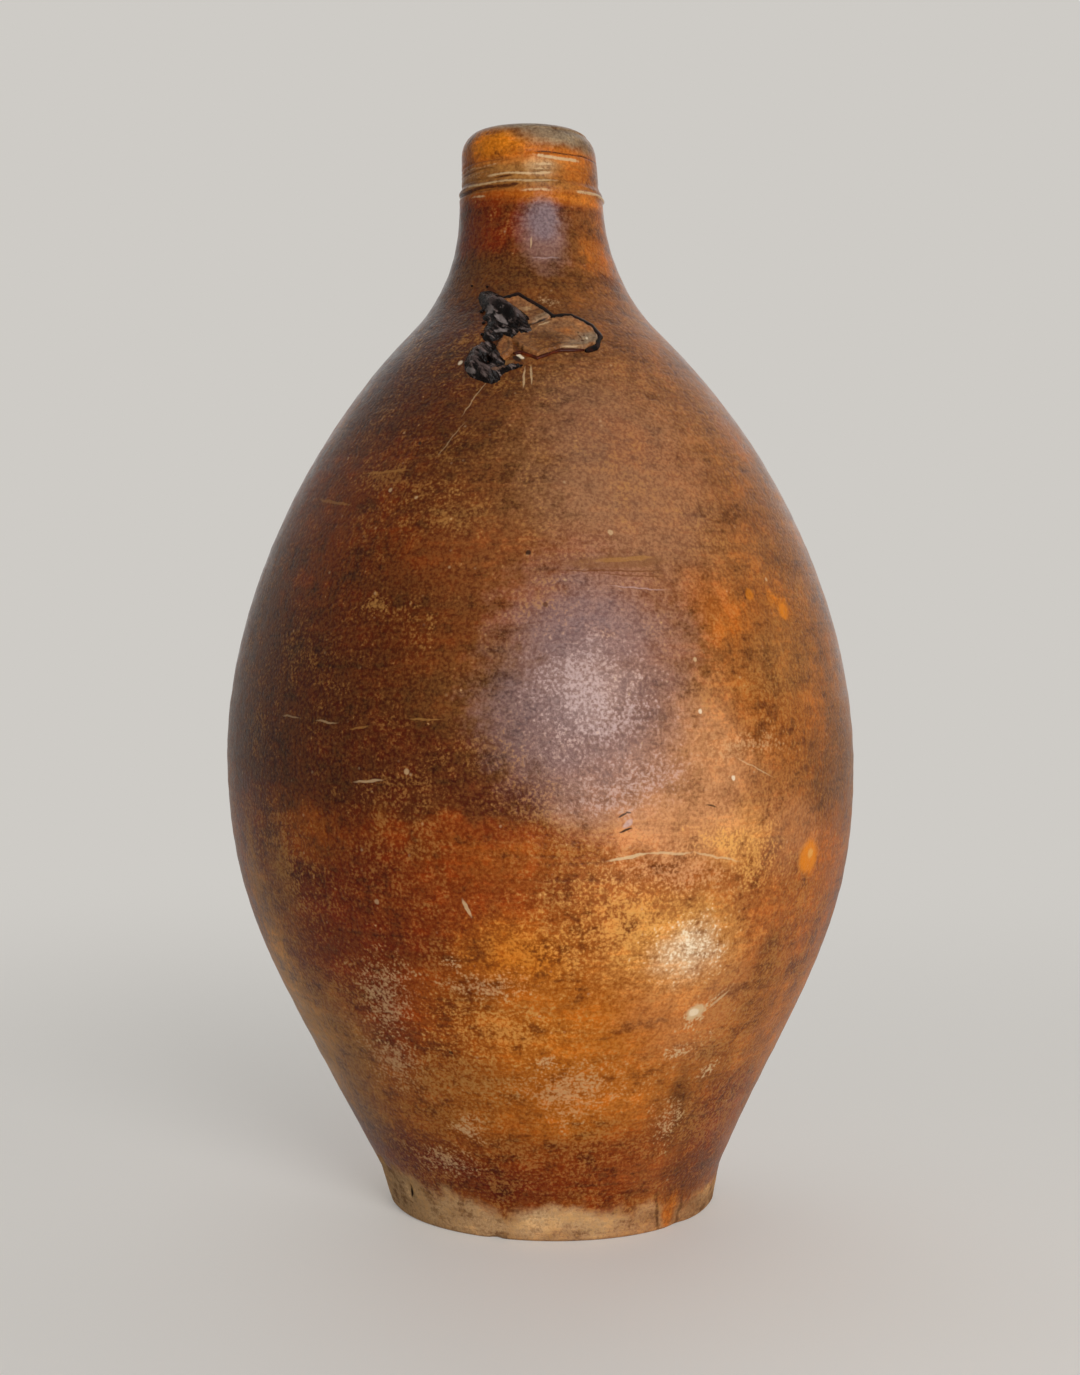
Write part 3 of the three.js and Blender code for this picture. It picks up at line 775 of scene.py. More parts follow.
def salt_glaze(name, tones, patches=(), painted_sheen=(), worn=(), marks=(), spots=()):
    """Salt glaze over the bare clay: thin, orange where it is fresh and brown or grey where it was smoked
    in the kiln, with a fine peel and the wheel's lines under it. Painted shade darkens its left side, and
    any painted sheen, glints and highlight given lie over it."""
    glaze = Recipe(name)
    place = glaze.place
    real_height = glaze.axis(place, 2)
    warp = glaze.share(real_height, 0.330, 0.366, WARP, 0.1 * WARP)
    warped = glaze.swayed(place, WARP_SIZE, warp, 3, 0.6)
    fluttered = glaze.swayed(place, FLUTTER_SIZE, (FLUTTER, FLUTTER, FLUTTER), 2, 0.5)
    height = glaze.axis(warped, 2)
    side = glaze.axis(glaze.vector("NORMALIZE", glaze.scaled(place, (1, 1, 0))), 0)
    low = glaze.share(real_height, 0.050, 0.020)
    low_left = glaze.times(low, glaze.share(side, -0.40, -0.95, 0, BARE_LEFT_RISE))
    low_wave = glaze.times(low, glaze.minus(glaze.noise(place, 0.014, 3, 0.6), 0.5))
    height = glaze.plus(glaze.minus(height, low_left), glaze.times(low_wave, BARE_WAVE))

    granules = glaze.node("ShaderNodeTexVoronoi", {"Vector": place, "Scale": 1 / GRANULE}, "Distance")
    grain = glaze.minus(glaze.noise(place, GRAIN, 2, 0.65), glaze.times(granules, 0.3))
    grain = glaze.plus(grain, 0.15)
    mottle = glaze.noise(place, MOTTLE, 4, 0.66)
    blotches = glaze.noise(glaze.scaled(place, BLOTCH_STRETCH), BLOTCH, 3, 0.6)
    streaks = glaze.noise(glaze.scaled(place, STREAK_STRETCH), STREAK, 4, 0.6)
    clouds = glaze.noise(glaze.scaled(warped, STREAK_STRETCH), CLOUD, 4, 0.55)
    embers = glaze.noise(glaze.vector("ADD", warped, (0.31, 0.17, 0.23)), CLOUD * 0.6, 5, 0.6)
    wheel = glaze.noise(glaze.scaled(fluttered, WHEEL_STRETCH), WHEEL_LINE, 2, 0.6)

    # Smoke with painted shade, darkening the glaze up its left side, away from the key light, and the broad
    # clouds of the glaze.
    colour = glaze.levels(height, tones)
    above_neck = glaze.share(real_height, 0.3700, 0.3755, 1.0, 0.12)
    smoke_and_shade = glaze.times(glaze.share(side, 0.05, -0.55), glaze.share(real_height, 0.015, 0.040, 0.15, 1))
    colour = glaze.blend(glaze.times(smoke_and_shade, above_neck), colour, glaze.tinted(colour, SMOKE_AND_SHADE_TINT))
    # Painted shade: the upper body's far left edge darkened further.
    far_left_shade = glaze.times(glaze.share(side, -0.25, -0.85), glaze.share(real_height, 0.14, 0.19))
    colour = glaze.blend(glaze.times(far_left_shade, above_neck), colour, glaze.tinted(colour, LEFT_EDGE_SHADE))
    coats = [
        (WARM_CLAY, side, 0.10, 0.70, 0.40),
        (EMBER, clouds, 0.50, 0.70, 0.45),
        (AMBER, embers, 0.54, 0.78, 0.35),
        (DARK_BROWN, streaks, 0.50, 0.74, 0.45),
    ]
    for coat in coats:
        colour = glaze.coated(colour, *coat)

    # Patches, then the mottling by the glaze's thickness, the painted sheen over it, and the grain.
    soft_edge = glaze.weighed((mottle, 0.6), (grain, 0.2))
    soft = (SOFT_EDGE, SOFT_BODY, PATCH_SPREAD, soft_edge)
    colour = glaze.painted(colour, warped, patches, *soft)
    thickness = glaze.weighed((mottle, 0.60), (wheel, 0.26), (blotches, 0.50))
    thin = glaze.tinted(colour, THIN_GLAZE)
    thick = glaze.tinted(colour, THICK_GLAZE)
    colour = glaze.coated(colour, thick, thickness, 0.67, 0.53, 0.95)
    colour = glaze.coated(colour, thin, thickness, 0.69, 0.81)
    colour = glaze.painted(colour, warped, painted_sheen, *soft)
    light_grain = glaze.blend(0.08, colour, GOLD)
    colour = glaze.coated(glaze.tinted(colour, GRAIN_TINT), light_grain, grain, 0.30, 0.66)

    # Pale flecks, and worn patches with painted glints and a painted highlight among them, broken up by the
    # grain.
    rough_edge = glaze.weighed((grain, 1.8), (mottle, 1.2))
    flecks = glaze.plus(rough_edge, glaze.times(embers, 1.6))
    flecks = glaze.plus(flecks, glaze.share(real_height, 0.18, 0.11, 0.0, 0.16))
    flecks = glaze.minus(flecks, glaze.share(real_height, 0.31, 0.35, 0.0, 0.25))
    colour = glaze.coated(colour, TAN, flecks, FLECK_EDGE, FLECK_BODY, 0.48)
    colour = glaze.painted(colour, warped, worn, WORN_GLINT_EDGE, WORN_GLINT_BODY, PATCH_SPREAD, rough_edge)

    # The collar's tool lines with the painted shadow and highlight at the lip's ledge, scattered pale
    # specks, thin marks and spots.
    stripes = glaze.node("ShaderNodeAttribute", {}, "Fac", attribute_name="stripes")
    stripes = glaze.times(stripes, glaze.share(grain, 0.30, 0.60, 0.55, 1.25))
    colour = glaze.coated(colour, CREAM, stripes, 0.12, 0.85, 0.85)
    colour = glaze.coated(colour, DARK_BROWN, stripes, -0.12, -0.85, 0.92)
    speck = glaze.node("ShaderNodeTexVoronoi", {"Vector": place, "Scale": 1 / SPECK_SPACING}, "Distance")
    red = glaze.vector("DOT_PRODUCT", speck.node.outputs["Color"], (1, 0, 0), 1)
    chosen = glaze.times(glaze.share(red, 0.72, 0.82), glaze.share(mottle, 0.42, 0.60))
    dot = glaze.share(speck, 0.18, 0.06, 0, 0.40)
    colour = glaze.blend(glaze.times(chosen, dot), colour, CREAM)
    colour = glaze.painted(colour, fluttered, marks, 0.02, 0.45)
    round_spots = [(tone, turn, level, half, half, 0, share) for tone, turn, level, half, share in spots]
    colour = glaze.painted(colour, fluttered, round_spots, 0.05, 0.5)

    bare = glaze.share(height, 0.0120, 0.0090)
    shine = glaze.share(mottle, 0.3, 0.7, 0.30, 0.42)
    roughness = glaze.math("MAXIMUM", shine, glaze.times(bare, BARE_ROUGHNESS))
    glaze.shade(Base_Color=colour, Roughness=roughness, Specular_IOR_Level=0.10)
    glaze.bumped(glaze.weighed((grain, 0.22), (mottle, 0.22), (wheel, 0.10)))
    return glaze.material


def quarter_turn(steps):
    """The angles of a quarter turn in even steps, up to its end."""
    return [math.radians(90 * i / steps) for i in range(1, steps + 1)]


def lower_outline():
    """The lower section, from the middle of its underside round to the middle of its floor."""
    top = run(outer_radius, FOOT_ROUND, BELLY_SEAM, OUTER_STEP)
    inside_low = FLOOR + FLOOR_FILLET
    inside = run(inner_radius, inside_low, BELLY_SEAM, INNER_STEP)[::-1]
    corner = inner_radius(inside_low) - FLOOR_FILLET
    fillet = [
        (corner + FLOOR_FILLET * math.cos(a), inside_low - FLOOR_FILLET * math.sin(a))
        for a in quarter_turn(ROUND_STEPS)
    ]
    rim = outer_radius(BELLY_SEAM) - WALL / 2
    sole = [(0, 0), (0.02, 0), (0.04, 0), (FOOT_EDGE - 3 * FOOT_ROUND, 0), (FOOT_EDGE - FOOT_ROUND, 0)]
    heel = [(FOOT_EDGE - 0.4 * FOOT_ROUND, 0.25 * FOOT_ROUND)]
    return [*sole, *heel, *top, (rim, BELLY_SEAM), *inside, *fillet, (0.03, FLOOR), (0, FLOOR)]


body_glaze = salt_glaze("body_salt_glaze", GLAZE_LEVELS, PATCHES, KEY_LIGHT_SHEEN, WORN_AND_GLINTS, MARKS, SPOTS)
lower_skin = thrown("thrown_lower_body", lower_outline(), closed=False)
lower_skin.data.materials.append(body_glaze)
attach(lower_skin, "root")
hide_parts("lower_body")


# The upper body: thrown apart from the same clay and set rim to rim on the lower one. The seam
# was wiped smooth, and the glaze runs on over it.
def upper_outline():
    """The upper section, a closed wall from seam to seam."""
    outside = run(outer_radius, BELLY_SEAM, NECK_SEAM, OUTER_STEP)
    inside = run(inner_radius, BELLY_SEAM, NECK_SEAM, INNER_STEP)[::-1]
    return [*outside, *inside]


upper_skin = thrown("thrown_upper_body", upper_outline(), closed=True)
upper_skin.data.materials.append(body_glaze)
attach(upper_skin, "root")
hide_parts("upper_body")


# The neck and collar: thrown on the shoulder, with fine tool lines round the collar and a thick
# rounded lip.
COLLAR = 0.0259
COLLAR_TOP = 0.0252
BEAD_SWELL = 0.0004
BEAD_MIDDLE = 0.3768
BEAD_HALF = 0.0012
NECK_JOIN = 0.0022
LIP_FOOT = 0.3905
LIP_WIDTH = 0.0082
LIP_INNER_ROUND = 0.003
LIP_STEPS = 24
NECK_STEP = 0.0011
COLLAR_STEP = 0.00032
BORE_STEP = 0.003
COLLAR_FOOT = 0.3710
STRIPE_FADE = 10
STRIPE_WANDER = 0.0002
# Pale lines of thin glaze round the collar, and dark ones where it ran thick, with a painted shadow and a
# painted highlight at the lip's ledge: from these degrees round and height, to those, the half width, and
# how pale, or below nothing how dark.
COLLAR_STRIPES = [
    # A painted shadow line along the lip's ledge, and a pale strip under it with a painted highlight.
    (0, 0.3881, 90, 0.3884, 0.00034, -0.80),
    (1, 0.3869, 50, 0.3857, 0.00055, 1.10),
    (-80, 0.3850, -16, 0.3862, 0.00035, -0.45),
    (-76, 0.3838, -20, 0.3844, 0.00040, 0.50),
    (-80, 0.3828, -24, 0.3832, 0.00036, -0.60),
    (-80, 0.3814, -30, 0.3818, 0.00036, 0.40),
    (-84, 0.3790, -40, 0.3786, 0.00040, -0.60),
    (-2, 0.3838, 24, 0.3836, 0.00055, 0.70),
    (-4, 0.3822, 22, 0.3822, 0.00045, 0.60),
    (-40, 0.3803, 22, 0.3805, 0.00040, 1.10),
    (-36, 0.3795, -8, 0.3797, 0.00040, -0.90),
    (10, 0.3792, 26, 0.3790, 0.00050, -0.40),
    (-64, 0.3775, 26, 0.3777, 0.00048, 1.00),
    (-95, 0.3758, -4, 0.3763, 0.00060, -1.10),
    (-58, 0.3732, -34, 0.3730, 0.00042, 0.90),
    (-12, 0.3742, 22, 0.3740, 0.00060, 0.60),
    (34, 0.3747, 92, 0.3749, 0.00046, 1.20),
    (-60, 0.3752, -30, 0.3744, 0.00040, 0.30),
]


def stripe_tone(round_by, height):
    """How pale or how dark the lines round the collar are at a place."""
    tone = 0.0
    for first, first_height, last, last_height, half, strength in COLLAR_STRIPES:
        fade = faded(round_by, first, last, STRIPE_FADE)
        if fade:
            level = first_height + (last_height - first_height) * (round_by - first) / (last - first)
            level += STRIPE_WANDER * math.sin(math.radians(round_by) * 9 + first_height * 9000)
            tone += fade * strength * hump(height, level, half)
    return tone


def collar_radius(height):
    """The collar's wall without its tool lines: it narrows upwards from a low bead."""
    share = (height - NECK_HEIGHT) / (LIP_FOOT - NECK_HEIGHT)
    wall = COLLAR + (COLLAR_TOP - COLLAR) * share
    into_neck = (NECK - COLLAR) * hump(height, NECK_HEIGHT, NECK_JOIN)
    return wall + into_neck + BEAD_SWELL * hump(height, BEAD_MIDDLE, BEAD_HALF)


def neck_outline():
    """The neck section, from its seam up over the lip and down the bore."""
    outside = run(outer_radius, NECK_SEAM, COLLAR_FOOT, NECK_STEP)[:-1]
    outside += run(outer_radius, COLLAR_FOOT, NECK_HEIGHT, COLLAR_STEP)[:-1]
    collar = run(collar_radius, NECK_HEIGHT, LIP_FOOT, COLLAR_STEP)
    crest = COLLAR_TOP - LIP_WIDTH
    rise = JUG_HEIGHT - LIP_FOOT
    lip = [
        (crest + LIP_WIDTH * math.cos(a), LIP_FOOT + rise * math.sin(a))
        for a in quarter_turn(LIP_STEPS)
    ]
    inner = crest - BORE
    mouth = [
        (crest - inner * math.sin(a), JUG_HEIGHT - LIP_INNER_ROUND * (1 - math.cos(a)))
        for a in quarter_turn(ROUND_STEPS)
    ]
    bore = run(inner_radius, NECK_SEAM, NECK_HEIGHT, BORE_STEP)[::-1]
    return [*outside, *collar, *lip, *mouth, *bore]


neck_skin = thrown("thrown_neck_and_collar", neck_outline(), closed=True)
neck_skin.data.materials.append(body_glaze)
stripes = neck_skin.data.attributes.new("stripes", "FLOAT", "POINT")
for vert in neck_skin.data.vertices:
    upright = vert.co - Vector((lean(vert.co.z), 0, 0))
    if vert.co.z > COLLAR_FOOT and math.hypot(upright.x, upright.y) > COLLAR_INSIDE:
        stripes.data[vert.index].value = stripe_tone(degrees_round(upright), vert.co.z)
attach(neck_skin, "root")
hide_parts("neck_and_collar")


# The strap handle: a tapered strip pulled from a lump of wet clay, bent over and pressed on under
# the collar and on the shoulder, where a thumb left its dent. It stands behind the neck.
STRAP_TOP = 0.365
STRAP_FOOT = 0.300
STRAP_SINK = 0.007
STRAP_REACH = 0.040
STRAP_RISE = 0.012
STRAP_BOW = 0.024
STRAP_FALL = 0.047
STRAP_HALF_WIDTH = 0.0145
STRAP_HALF_THICKNESS = 0.0055
STRAP_FLARE = 0.4
STRAP_STEPS = 150
STRAP_SIDES = 96
# Flutes that the wet hand drew along the strap: offset to the side, half width and depth.
STRAP_FLUTES = [(0.0, 0.0050, 0.0012), (-0.0088, 0.0016, 0.0004), (0.0090, 0.0018, 0.0004)]
THUMB_ALONG = 0.90
THUMB_HALF_LENGTH = 0.035
THUMB_HALF_WIDTH = 0.0075
THUMB_DEPTH = 0.0021
STRAP_PEEL = 0.00012
FINE_PEEL_WAVES = 260
BROAD_PEEL_WAVES = 70

strap_start = Vector((0, outer_radius(STRAP_TOP) - STRAP_SINK, STRAP_TOP))
strap_end = Vector((0, outer_radius(STRAP_FOOT) - STRAP_SINK, STRAP_FOOT))
strap_line = interpolate_bezier(
    strap_start, strap_start + Vector((0, STRAP_REACH, STRAP_RISE)),
    strap_end + Vector((0, STRAP_BOW, STRAP_FALL)), strap_end, STRAP_STEPS + 1,
)


def on_strap(turn, step):
    """A point of the pulled strap, by its turn round the section and its step along the line."""
    along = step / STRAP_STEPS
    tangent = strap_line[min(step + 1, STRAP_STEPS)] - strap_line[max(step - 1, 0)]
    tangent.normalize()
    outward = Vector((0, -tangent.z, tangent.y))
    spread = 1 + STRAP_FLARE * abs(2 * along - 1) ** 5
    side = STRAP_HALF_WIDTH * spread * math.cos(turn)
    out = STRAP_HALF_THICKNESS * spread * math.sin(turn)
    face = max(math.sin(turn), 0)
    for offset, half, depth in STRAP_FLUTES:
        out -= face * depth * hump(side, offset, half)
    thumb = hump(along, THUMB_ALONG, THUMB_HALF_LENGTH) * hump(side, 0, THUMB_HALF_WIDTH)
    out -= face * THUMB_DEPTH * thumb
    point = strap_line[step] + outward * out
    point.x = side
    peel = noise.noise(point * FINE_PEEL_WAVES) + 2 * noise.noise(point * BROAD_PEEL_WAVES)
    away = outward * math.sin(turn) + Vector((math.cos(turn), 0, 0))
    return point + away * (STRAP_PEEL * peel) + Vector((lean(point.z), 0, 0))


def wrapped(mesh, sides, steps, place):
    """A tube with both its ends filled: a grid laid round a line, with its long edges joined."""
    bmesh.ops.create_grid(mesh, x_segments=sides, y_segments=steps, size=0.5)
    for vert in mesh.verts:
        vert.co = place(2 * math.pi * (vert.co.x + 0.5), round((vert.co.y + 0.5) * steps))
    bmesh.ops.remove_doubles(mesh, verts=mesh.verts, dist=1e-7)
    bmesh.ops.holes_fill(mesh, edges=[edge for edge in mesh.edges if edge.is_boundary])
    bmesh.ops.recalc_face_normals(mesh, faces=mesh.faces)


STRAP_LEVELS = [
    (0.295, seen(128, 84, 50)),
    (0.330, seen(134, 80, 40)),
    (0.360, seen(128, 72, 32)),
    (0.380, seen(156, 90, 36)),
]

strap_mesh = bmesh.new()
wrapped(strap_mesh, STRAP_SIDES, STRAP_STEPS, on_strap)
strap = finished("pulled_strap", strap_mesh)
strap.data.materials.append(salt_glaze("strap_salt_glaze", STRAP_LEVELS))
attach(strap, "root")
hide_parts("strap_handle")


# The slag: brown-black glass that dripped from the kiln's roof on to the shoulder and froze there
# in ridges and blisters. It is fused to the glaze, with a few loose beads round it.
SCAR_SLOPE_REACH = 0.003


def on_front(side, height, lift=0.0):
    """A point on the fired front, at an offset to the side and a height, lifted off it."""
    radius = outer_radius(height)
    sideways = side - lean(height)
    plain = Vector((sideways, -math.sqrt(radius**2 - sideways**2), height))
    outward = Vector((plain.x / radius, plain.y / radius, -outer_slope(height, SCAR_SLOPE_REACH)))
    return as_fired(plain) + outward.normalized() * lift


CRUST_SINK = 0.0009
CRUST_DIP = 0.6 * CRUST_SINK


def scar_noise(side, height, waves, layer):
    """Noise on the front, with so many waves to the metre. Each layer has noise of its own."""
    return noise.noise(Vector((side * waves, height * waves, layer)))


def crust(name, left, right, low, high, step, lift_at):
    """A crust on the front: a grid over a window, lifted where the crust lies, and closed below."""
    mesh = bmesh.new()
    lifts = mesh.verts.layers.float.new("lift")
    across, up = round((right - left) / step), round((high - low) / step)
    bmesh.ops.create_grid(mesh, x_segments=across, y_segments=up, size=0.5)
    for vert in mesh.verts:
        side = left + (vert.co.x + 0.5) * (right - left)
        height = low + (vert.co.y + 0.5) * (high - low)
        vert.co = (side, height, max(lift_at(side, height), -CRUST_DIP))
    sunk = [face for face in mesh.faces if all(vert.co.z < 0 for vert in face.verts)]
    bmesh.ops.delete(mesh, geom=sunk, context="FACES")
    tops = set(mesh.verts)
    bmesh.ops.extrude_face_region(mesh, geom=mesh.faces[:], use_keep_orig=True)
    for vert in mesh.verts:
        if vert not in tops:
            vert.co.z = -CRUST_SINK
        vert[lifts] = vert.co.z
    bmesh.ops.recalc_face_normals(mesh, faces=mesh.faces)
    return finished(name, mesh, lambda point: on_front(*point))


def swell(side, height, middle, long, wide, turn, rise):
    """The rise of an oval swelling at a place."""
    angle = math.radians(turn)
    x, z = side - middle[0], height - middle[1]
    along = x * math.cos(angle) + z * math.sin(angle)
    aside = z * math.cos(angle) - x * math.sin(angle)
    return rise * math.exp(-((along / long) ** 2) - (aside / wide) ** 2)


# Swellings of the slag: middle (side, height), half length, half width, turn and rise.
UPPER_SWELLS = [
    ((-0.0165, 0.3318), 0.0052, 0.0030, -38, 0.0030),
    ((-0.0118, 0.3276), 0.0060, 0.0026, -40, 0.0046),
    ((-0.0072, 0.3235), 0.0040, 0.0022, -36, 0.0034),
    ((-0.0172, 0.3262), 0.0028, 0.0040, 8, 0.0022),
    ((-0.0150, 0.3205), 0.0036, 0.0026, 0, 0.0024),
    ((-0.0176, 0.3180), 0.0024, 0.0020, 0, 0.0019),
    ((-0.0096, 0.3192), 0.0042, 0.0018, 6, 0.0020),
    ((-0.0050, 0.3188), 0.0026, 0.0014, 10, 0.0014),
]
LOWER_SWELLS = [
    ((-0.0208, 0.3112), 0.0034, 0.0026, 30, 0.0034),
    ((-0.0184, 0.3140), 0.0024, 0.0016, 30, 0.0019),
    ((-0.0226, 0.3066), 0.0030, 0.0032, 0, 0.0030),
    ((-0.0184, 0.3036), 0.0040, 0.0024, -30, 0.0038),
    ((-0.0150, 0.3086), 0.0024, 0.0034, 0, 0.0030),
    ((-0.0186, 0.3080), 0.0034, 0.0034, 0, 0.0020),
    ((-0.0128, 0.3046), 0.0036, 0.0009, 18, 0.0021),
    ((-0.0086, 0.3060), 0.0030, 0.0007, 14, 0.0018),
]
# Blisters that burst and froze open: middle, half width and depth.
CRATERS = [
    ((-0.0184, 0.3078), 0.0019, 0.0026),
    ((-0.0198, 0.3276), 0.0009, 0.0024),
    ((-0.0192, 0.3236), 0.0008, 0.0022),
    ((-0.0139, 0.3312), 0.0011, 0.0016),
]
SLAG_STEP = 0.00022
SLAG_SINK = 0.0009
SLAG_CHURN = 0.0007
SLAG_FULL_RISE = 0.0016
# How many ridges along and across, and lumps, the churned slag has to the metre.
RIDGES_ALONG = 160
RIDGES_ACROSS = 620
SLAG_LUMPS = 420
LUMP_SHARE = 0.7
# Craters stop at this lift wherever the slag lies nearly as thick as it can.
CRATER_FLOOR = -0.0002
THICK_SLAG = 0.85
SLAG_RIDGE_TURN = math.radians(-40)


def slag_lift(swells):
    """The lift of a slag crust: its swellings, churned into ridges, with burst blisters."""
    def lift_at(side, height):
        rise = sum(swell(side, height, *each) for each in swells)
        along = side * math.cos(SLAG_RIDGE_TURN) + height * math.sin(SLAG_RIDGE_TURN)
        aside = height * math.cos(SLAG_RIDGE_TURN) - side * math.sin(SLAG_RIDGE_TURN)
        ridges = 1 - 2 * abs(noise.noise(Vector((along * RIDGES_ALONG, aside * RIDGES_ACROSS, 3))))
        lumps = scar_noise(side, height, SLAG_LUMPS, 8)
        body = min(rise / SLAG_FULL_RISE, 1)
        rise += body * SLAG_CHURN * (ridges + LUMP_SHARE * lumps) - SLAG_SINK
        for middle, half, depth in CRATERS:
            rise -= swell(side, height, middle, half, half, 0, depth) * body
        return max(rise, CRATER_FLOOR) if body > THICK_SLAG else rise
    return lift_at


DEEP_SLAG = seen(12, 6, 5)
CREST_HIGHLIGHT = seen(98, 82, 78)
RUSTY_FLECK = seen(86, 54, 32)
BLACK_SLAG = seen(9, 4, 4)
GREY_CRUST_AND_GLINT = seen(134, 122, 118)
BROWN_CRUST = seen(96, 66, 46)
# Where the slag lies black beside the flake, and grey crust on its crests with painted glints
# on it: tone, degrees round, height, half length, half width, turn and strength.
SLAG_TONES = [
    (BLACK_SLAG, -10.5, 0.3276, 0.0110, 0.0030, -34, 0.95),
    (BLACK_SLAG, -18, 0.3333, 0.0050, 0.0018, -10, 0.95),
    (GREY_CRUST_AND_GLINT, -20, 0.3286, 0.0032, 0.0026, -30, 0.80),
    (GREY_CRUST_AND_GLINT, -14, 0.3246, 0.0050, 0.0013, -38, 0.85),
    (BLACK_SLAG, -17, 0.3226, 0.0026, 0.0016, -20, 0.90),
    (GREY_CRUST_AND_GLINT, -13, 0.3200, 0.0044, 0.0012, 6, 0.70),
    (GREY_CRUST_AND_GLINT, -22, 0.3136, 0.0030, 0.0016, 20, 0.80),
    (GREY_CRUST_AND_GLINT, -26, 0.3108, 0.0018, 0.0018, 0, 0.65),
    (BLACK_SLAG, -19, 0.3098, 0.0026, 0.0026, 0, 0.95),
    (GREY_CRUST_AND_GLINT, -20, 0.3050, 0.0036, 0.0014, -20, 0.60),
    (BROWN_CRUST, -12, 0.3052, 0.0044, 0.0010, 16, 0.80),
]


def slag_glass():
    """Brown-black kiln glass, with a painted highlight greying its raised ridges."""
    slag = Recipe("kiln_slag_glass")
    turned = slag.node("ShaderNodeMapping", {"Vector": slag.place, "Rotation": (0, SLAG_RIDGE_TURN, 0)})
    churn = slag.noise(slag.scaled(turned, (0.35, 1, 1.3)), 0.0020, 4, 0.65)
    fine = slag.noise(slag.place, 0.0008, 2, 0.6)
    lift = slag.node("ShaderNodeAttribute", {}, "Fac", attribute_name="lift")
    churned = slag.minus(churn, 0.5)
    crest = slag.plus(lift, slag.times(churned, 0.016))
    # Painted highlight: the glass greys with its lift, palest on the highest ridges.
    colour = slag.coated(DEEP_SLAG, CREST_HIGHLIGHT, crest, 0.0016, 0.0054)
    colour = slag.coated(colour, RUSTY_FLECK, fine, 0.60, 0.78, 0.40)
    colour = slag.painted(colour, slag.place, SLAG_TONES, 0.10, 0.40, edge=slag.times(churned, 1.2))
    shine = slag.share(fine, 0.3, 0.7, 0.14, 0.36)
    slag.shade(Base_Color=colour, Roughness=shine, Specular_IOR_Level=0.08)
    slag.bumped(slag.weighed((churn, 0.5), (fine, 0.2)))
    return slag.material


glass = slag_glass()
slag_crusts = [
    ("slag_crust_upper", "kiln_slag_upper", (-0.0225, -0.0010, 0.3160, 0.3365), UPPER_SWELLS),
    ("slag_crust_lower", "kiln_slag_lower", (-0.0270, -0.0040, 0.2990, 0.3160), LOWER_SWELLS),
]
for name, node, window, swells in slag_crusts:
    lump = crust(name, *window, SLAG_STEP, slag_lift(swells))
    lump.data.materials.append(glass)
    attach(lump, "root")
    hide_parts(node)

# Beads of slag beside the lumps: side, height and radius.
SLAG_BEADS = [
    (-0.0206, 0.3283, 0.00080),
    (-0.0199, 0.3236, 0.00065),
    (-0.0203, 0.3190, 0.00060),
    (-0.0252, 0.3075, 0.00095),
    (-0.0196, 0.3344, 0.00055),
    (-0.0245, 0.3392, 0.00045),
    (-0.0188, 0.3382, 0.00045),
    (0.0186, 0.3222, 0.00050),
]
# How far a bead stands out and how uneven it is, as shares of its radius.
BEAD_STAND = 0.2
BEAD_DENT = 0.25
BEAD_WAVES = 900

bead_mesh = bmesh.new()
for side, height, radius in SLAG_BEADS:
    seat = Matrix.Translation(on_front(side, height, BEAD_STAND * radius))
    made = bmesh.ops.create_icosphere(bead_mesh, subdivisions=4, radius=radius, matrix=seat)
    for vert in made["verts"]:
        vert.co.z += BEAD_DENT * radius * noise.noise(vert.co * BEAD_WAVES)
slag_beads = finished("slag_beads", bead_mesh)
slag_beads.data.materials.append(glass)
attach(slag_beads, "root")


# The flake: a thin plate of glazed clay torn from a neighbouring pot that touched this one in the
# kiln. It snapped off with a sharp edge, and dark glass fills the joint along its upper side.
FLAKE_EDGE = [
    (-0.0132, 0.3322), (-0.0075, 0.3336), (0.0, 0.3284), (0.0046, 0.3248), (0.0106, 0.3254),
    (0.0176, 0.3217), (0.0204, 0.3179), (0.0189, 0.3142), (0.0150, 0.3128), (0.0070, 0.3129),
    (-0.0010, 0.3098), (-0.0062, 0.3125), (-0.0100, 0.3160), (-0.0060, 0.3210),
]
SMALL_PLATE = [
    (-0.0152, 0.3140), (-0.0128, 0.3178), (-0.0098, 0.3170), (-0.0090, 0.3120), (-0.0126, 0.3085),
    (-0.0148, 0.3094),
]
FLAKE_STEP = 0.00022
FLAKE_LIFT = 0.0010
FLAKE_HOLLOW = 0.35
FLAKE_HOLLOW_WAVES = 130
FLAKE_WAVER = 0.0004
FLAKE_WAVER_WAVES = 700
FLAKE_SNAP = (-0.0002, 0.0003)


def to_stretch(side, height, start, end):
    """How far a place lies from a straight stretch, and how far along it the nearest point is."""
    (x1, z1), (x2, z2) = start, end
    share = ((side - x1) * (x2 - x1) + (height - z1) * (z2 - z1)) / ((x2 - x1) ** 2 + (z2 - z1) ** 2)
    share = min(max(share, 0), 1)
    return math.hypot(x1 + share * (x2 - x1) - side, z1 + share * (z2 - z1) - height), share


def beyond_edge(side, height, corners):
    """How far a place lies outside a plate's edge, below nothing when it lies inside."""
    nearest = 1.0
    inside = False
    for i, (x1, z1) in enumerate(corners):
        x2, z2 = corners[i - 1]
        nearest = min(nearest, to_stretch(side, height, (x1, z1), (x2, z2))[0])
        if (z1 > height) != (z2 > height) and side < x1 + (x2 - x1) * (height - z1) / (z2 - z1):
            inside = not inside
    return -nearest if inside else nearest


def from_line(side, height, line):
    """How far a place lies from a broken line, and how far along the line the nearest point is."""
    nearest = (1.0, 0.0)
    for i, (start, end) in enumerate(zip(line, line[1:])):
        gap, share = to_stretch(side, height, start, end)
        nearest = min(nearest, (gap, (i + share) / (len(line) - 1)))
    return nearest


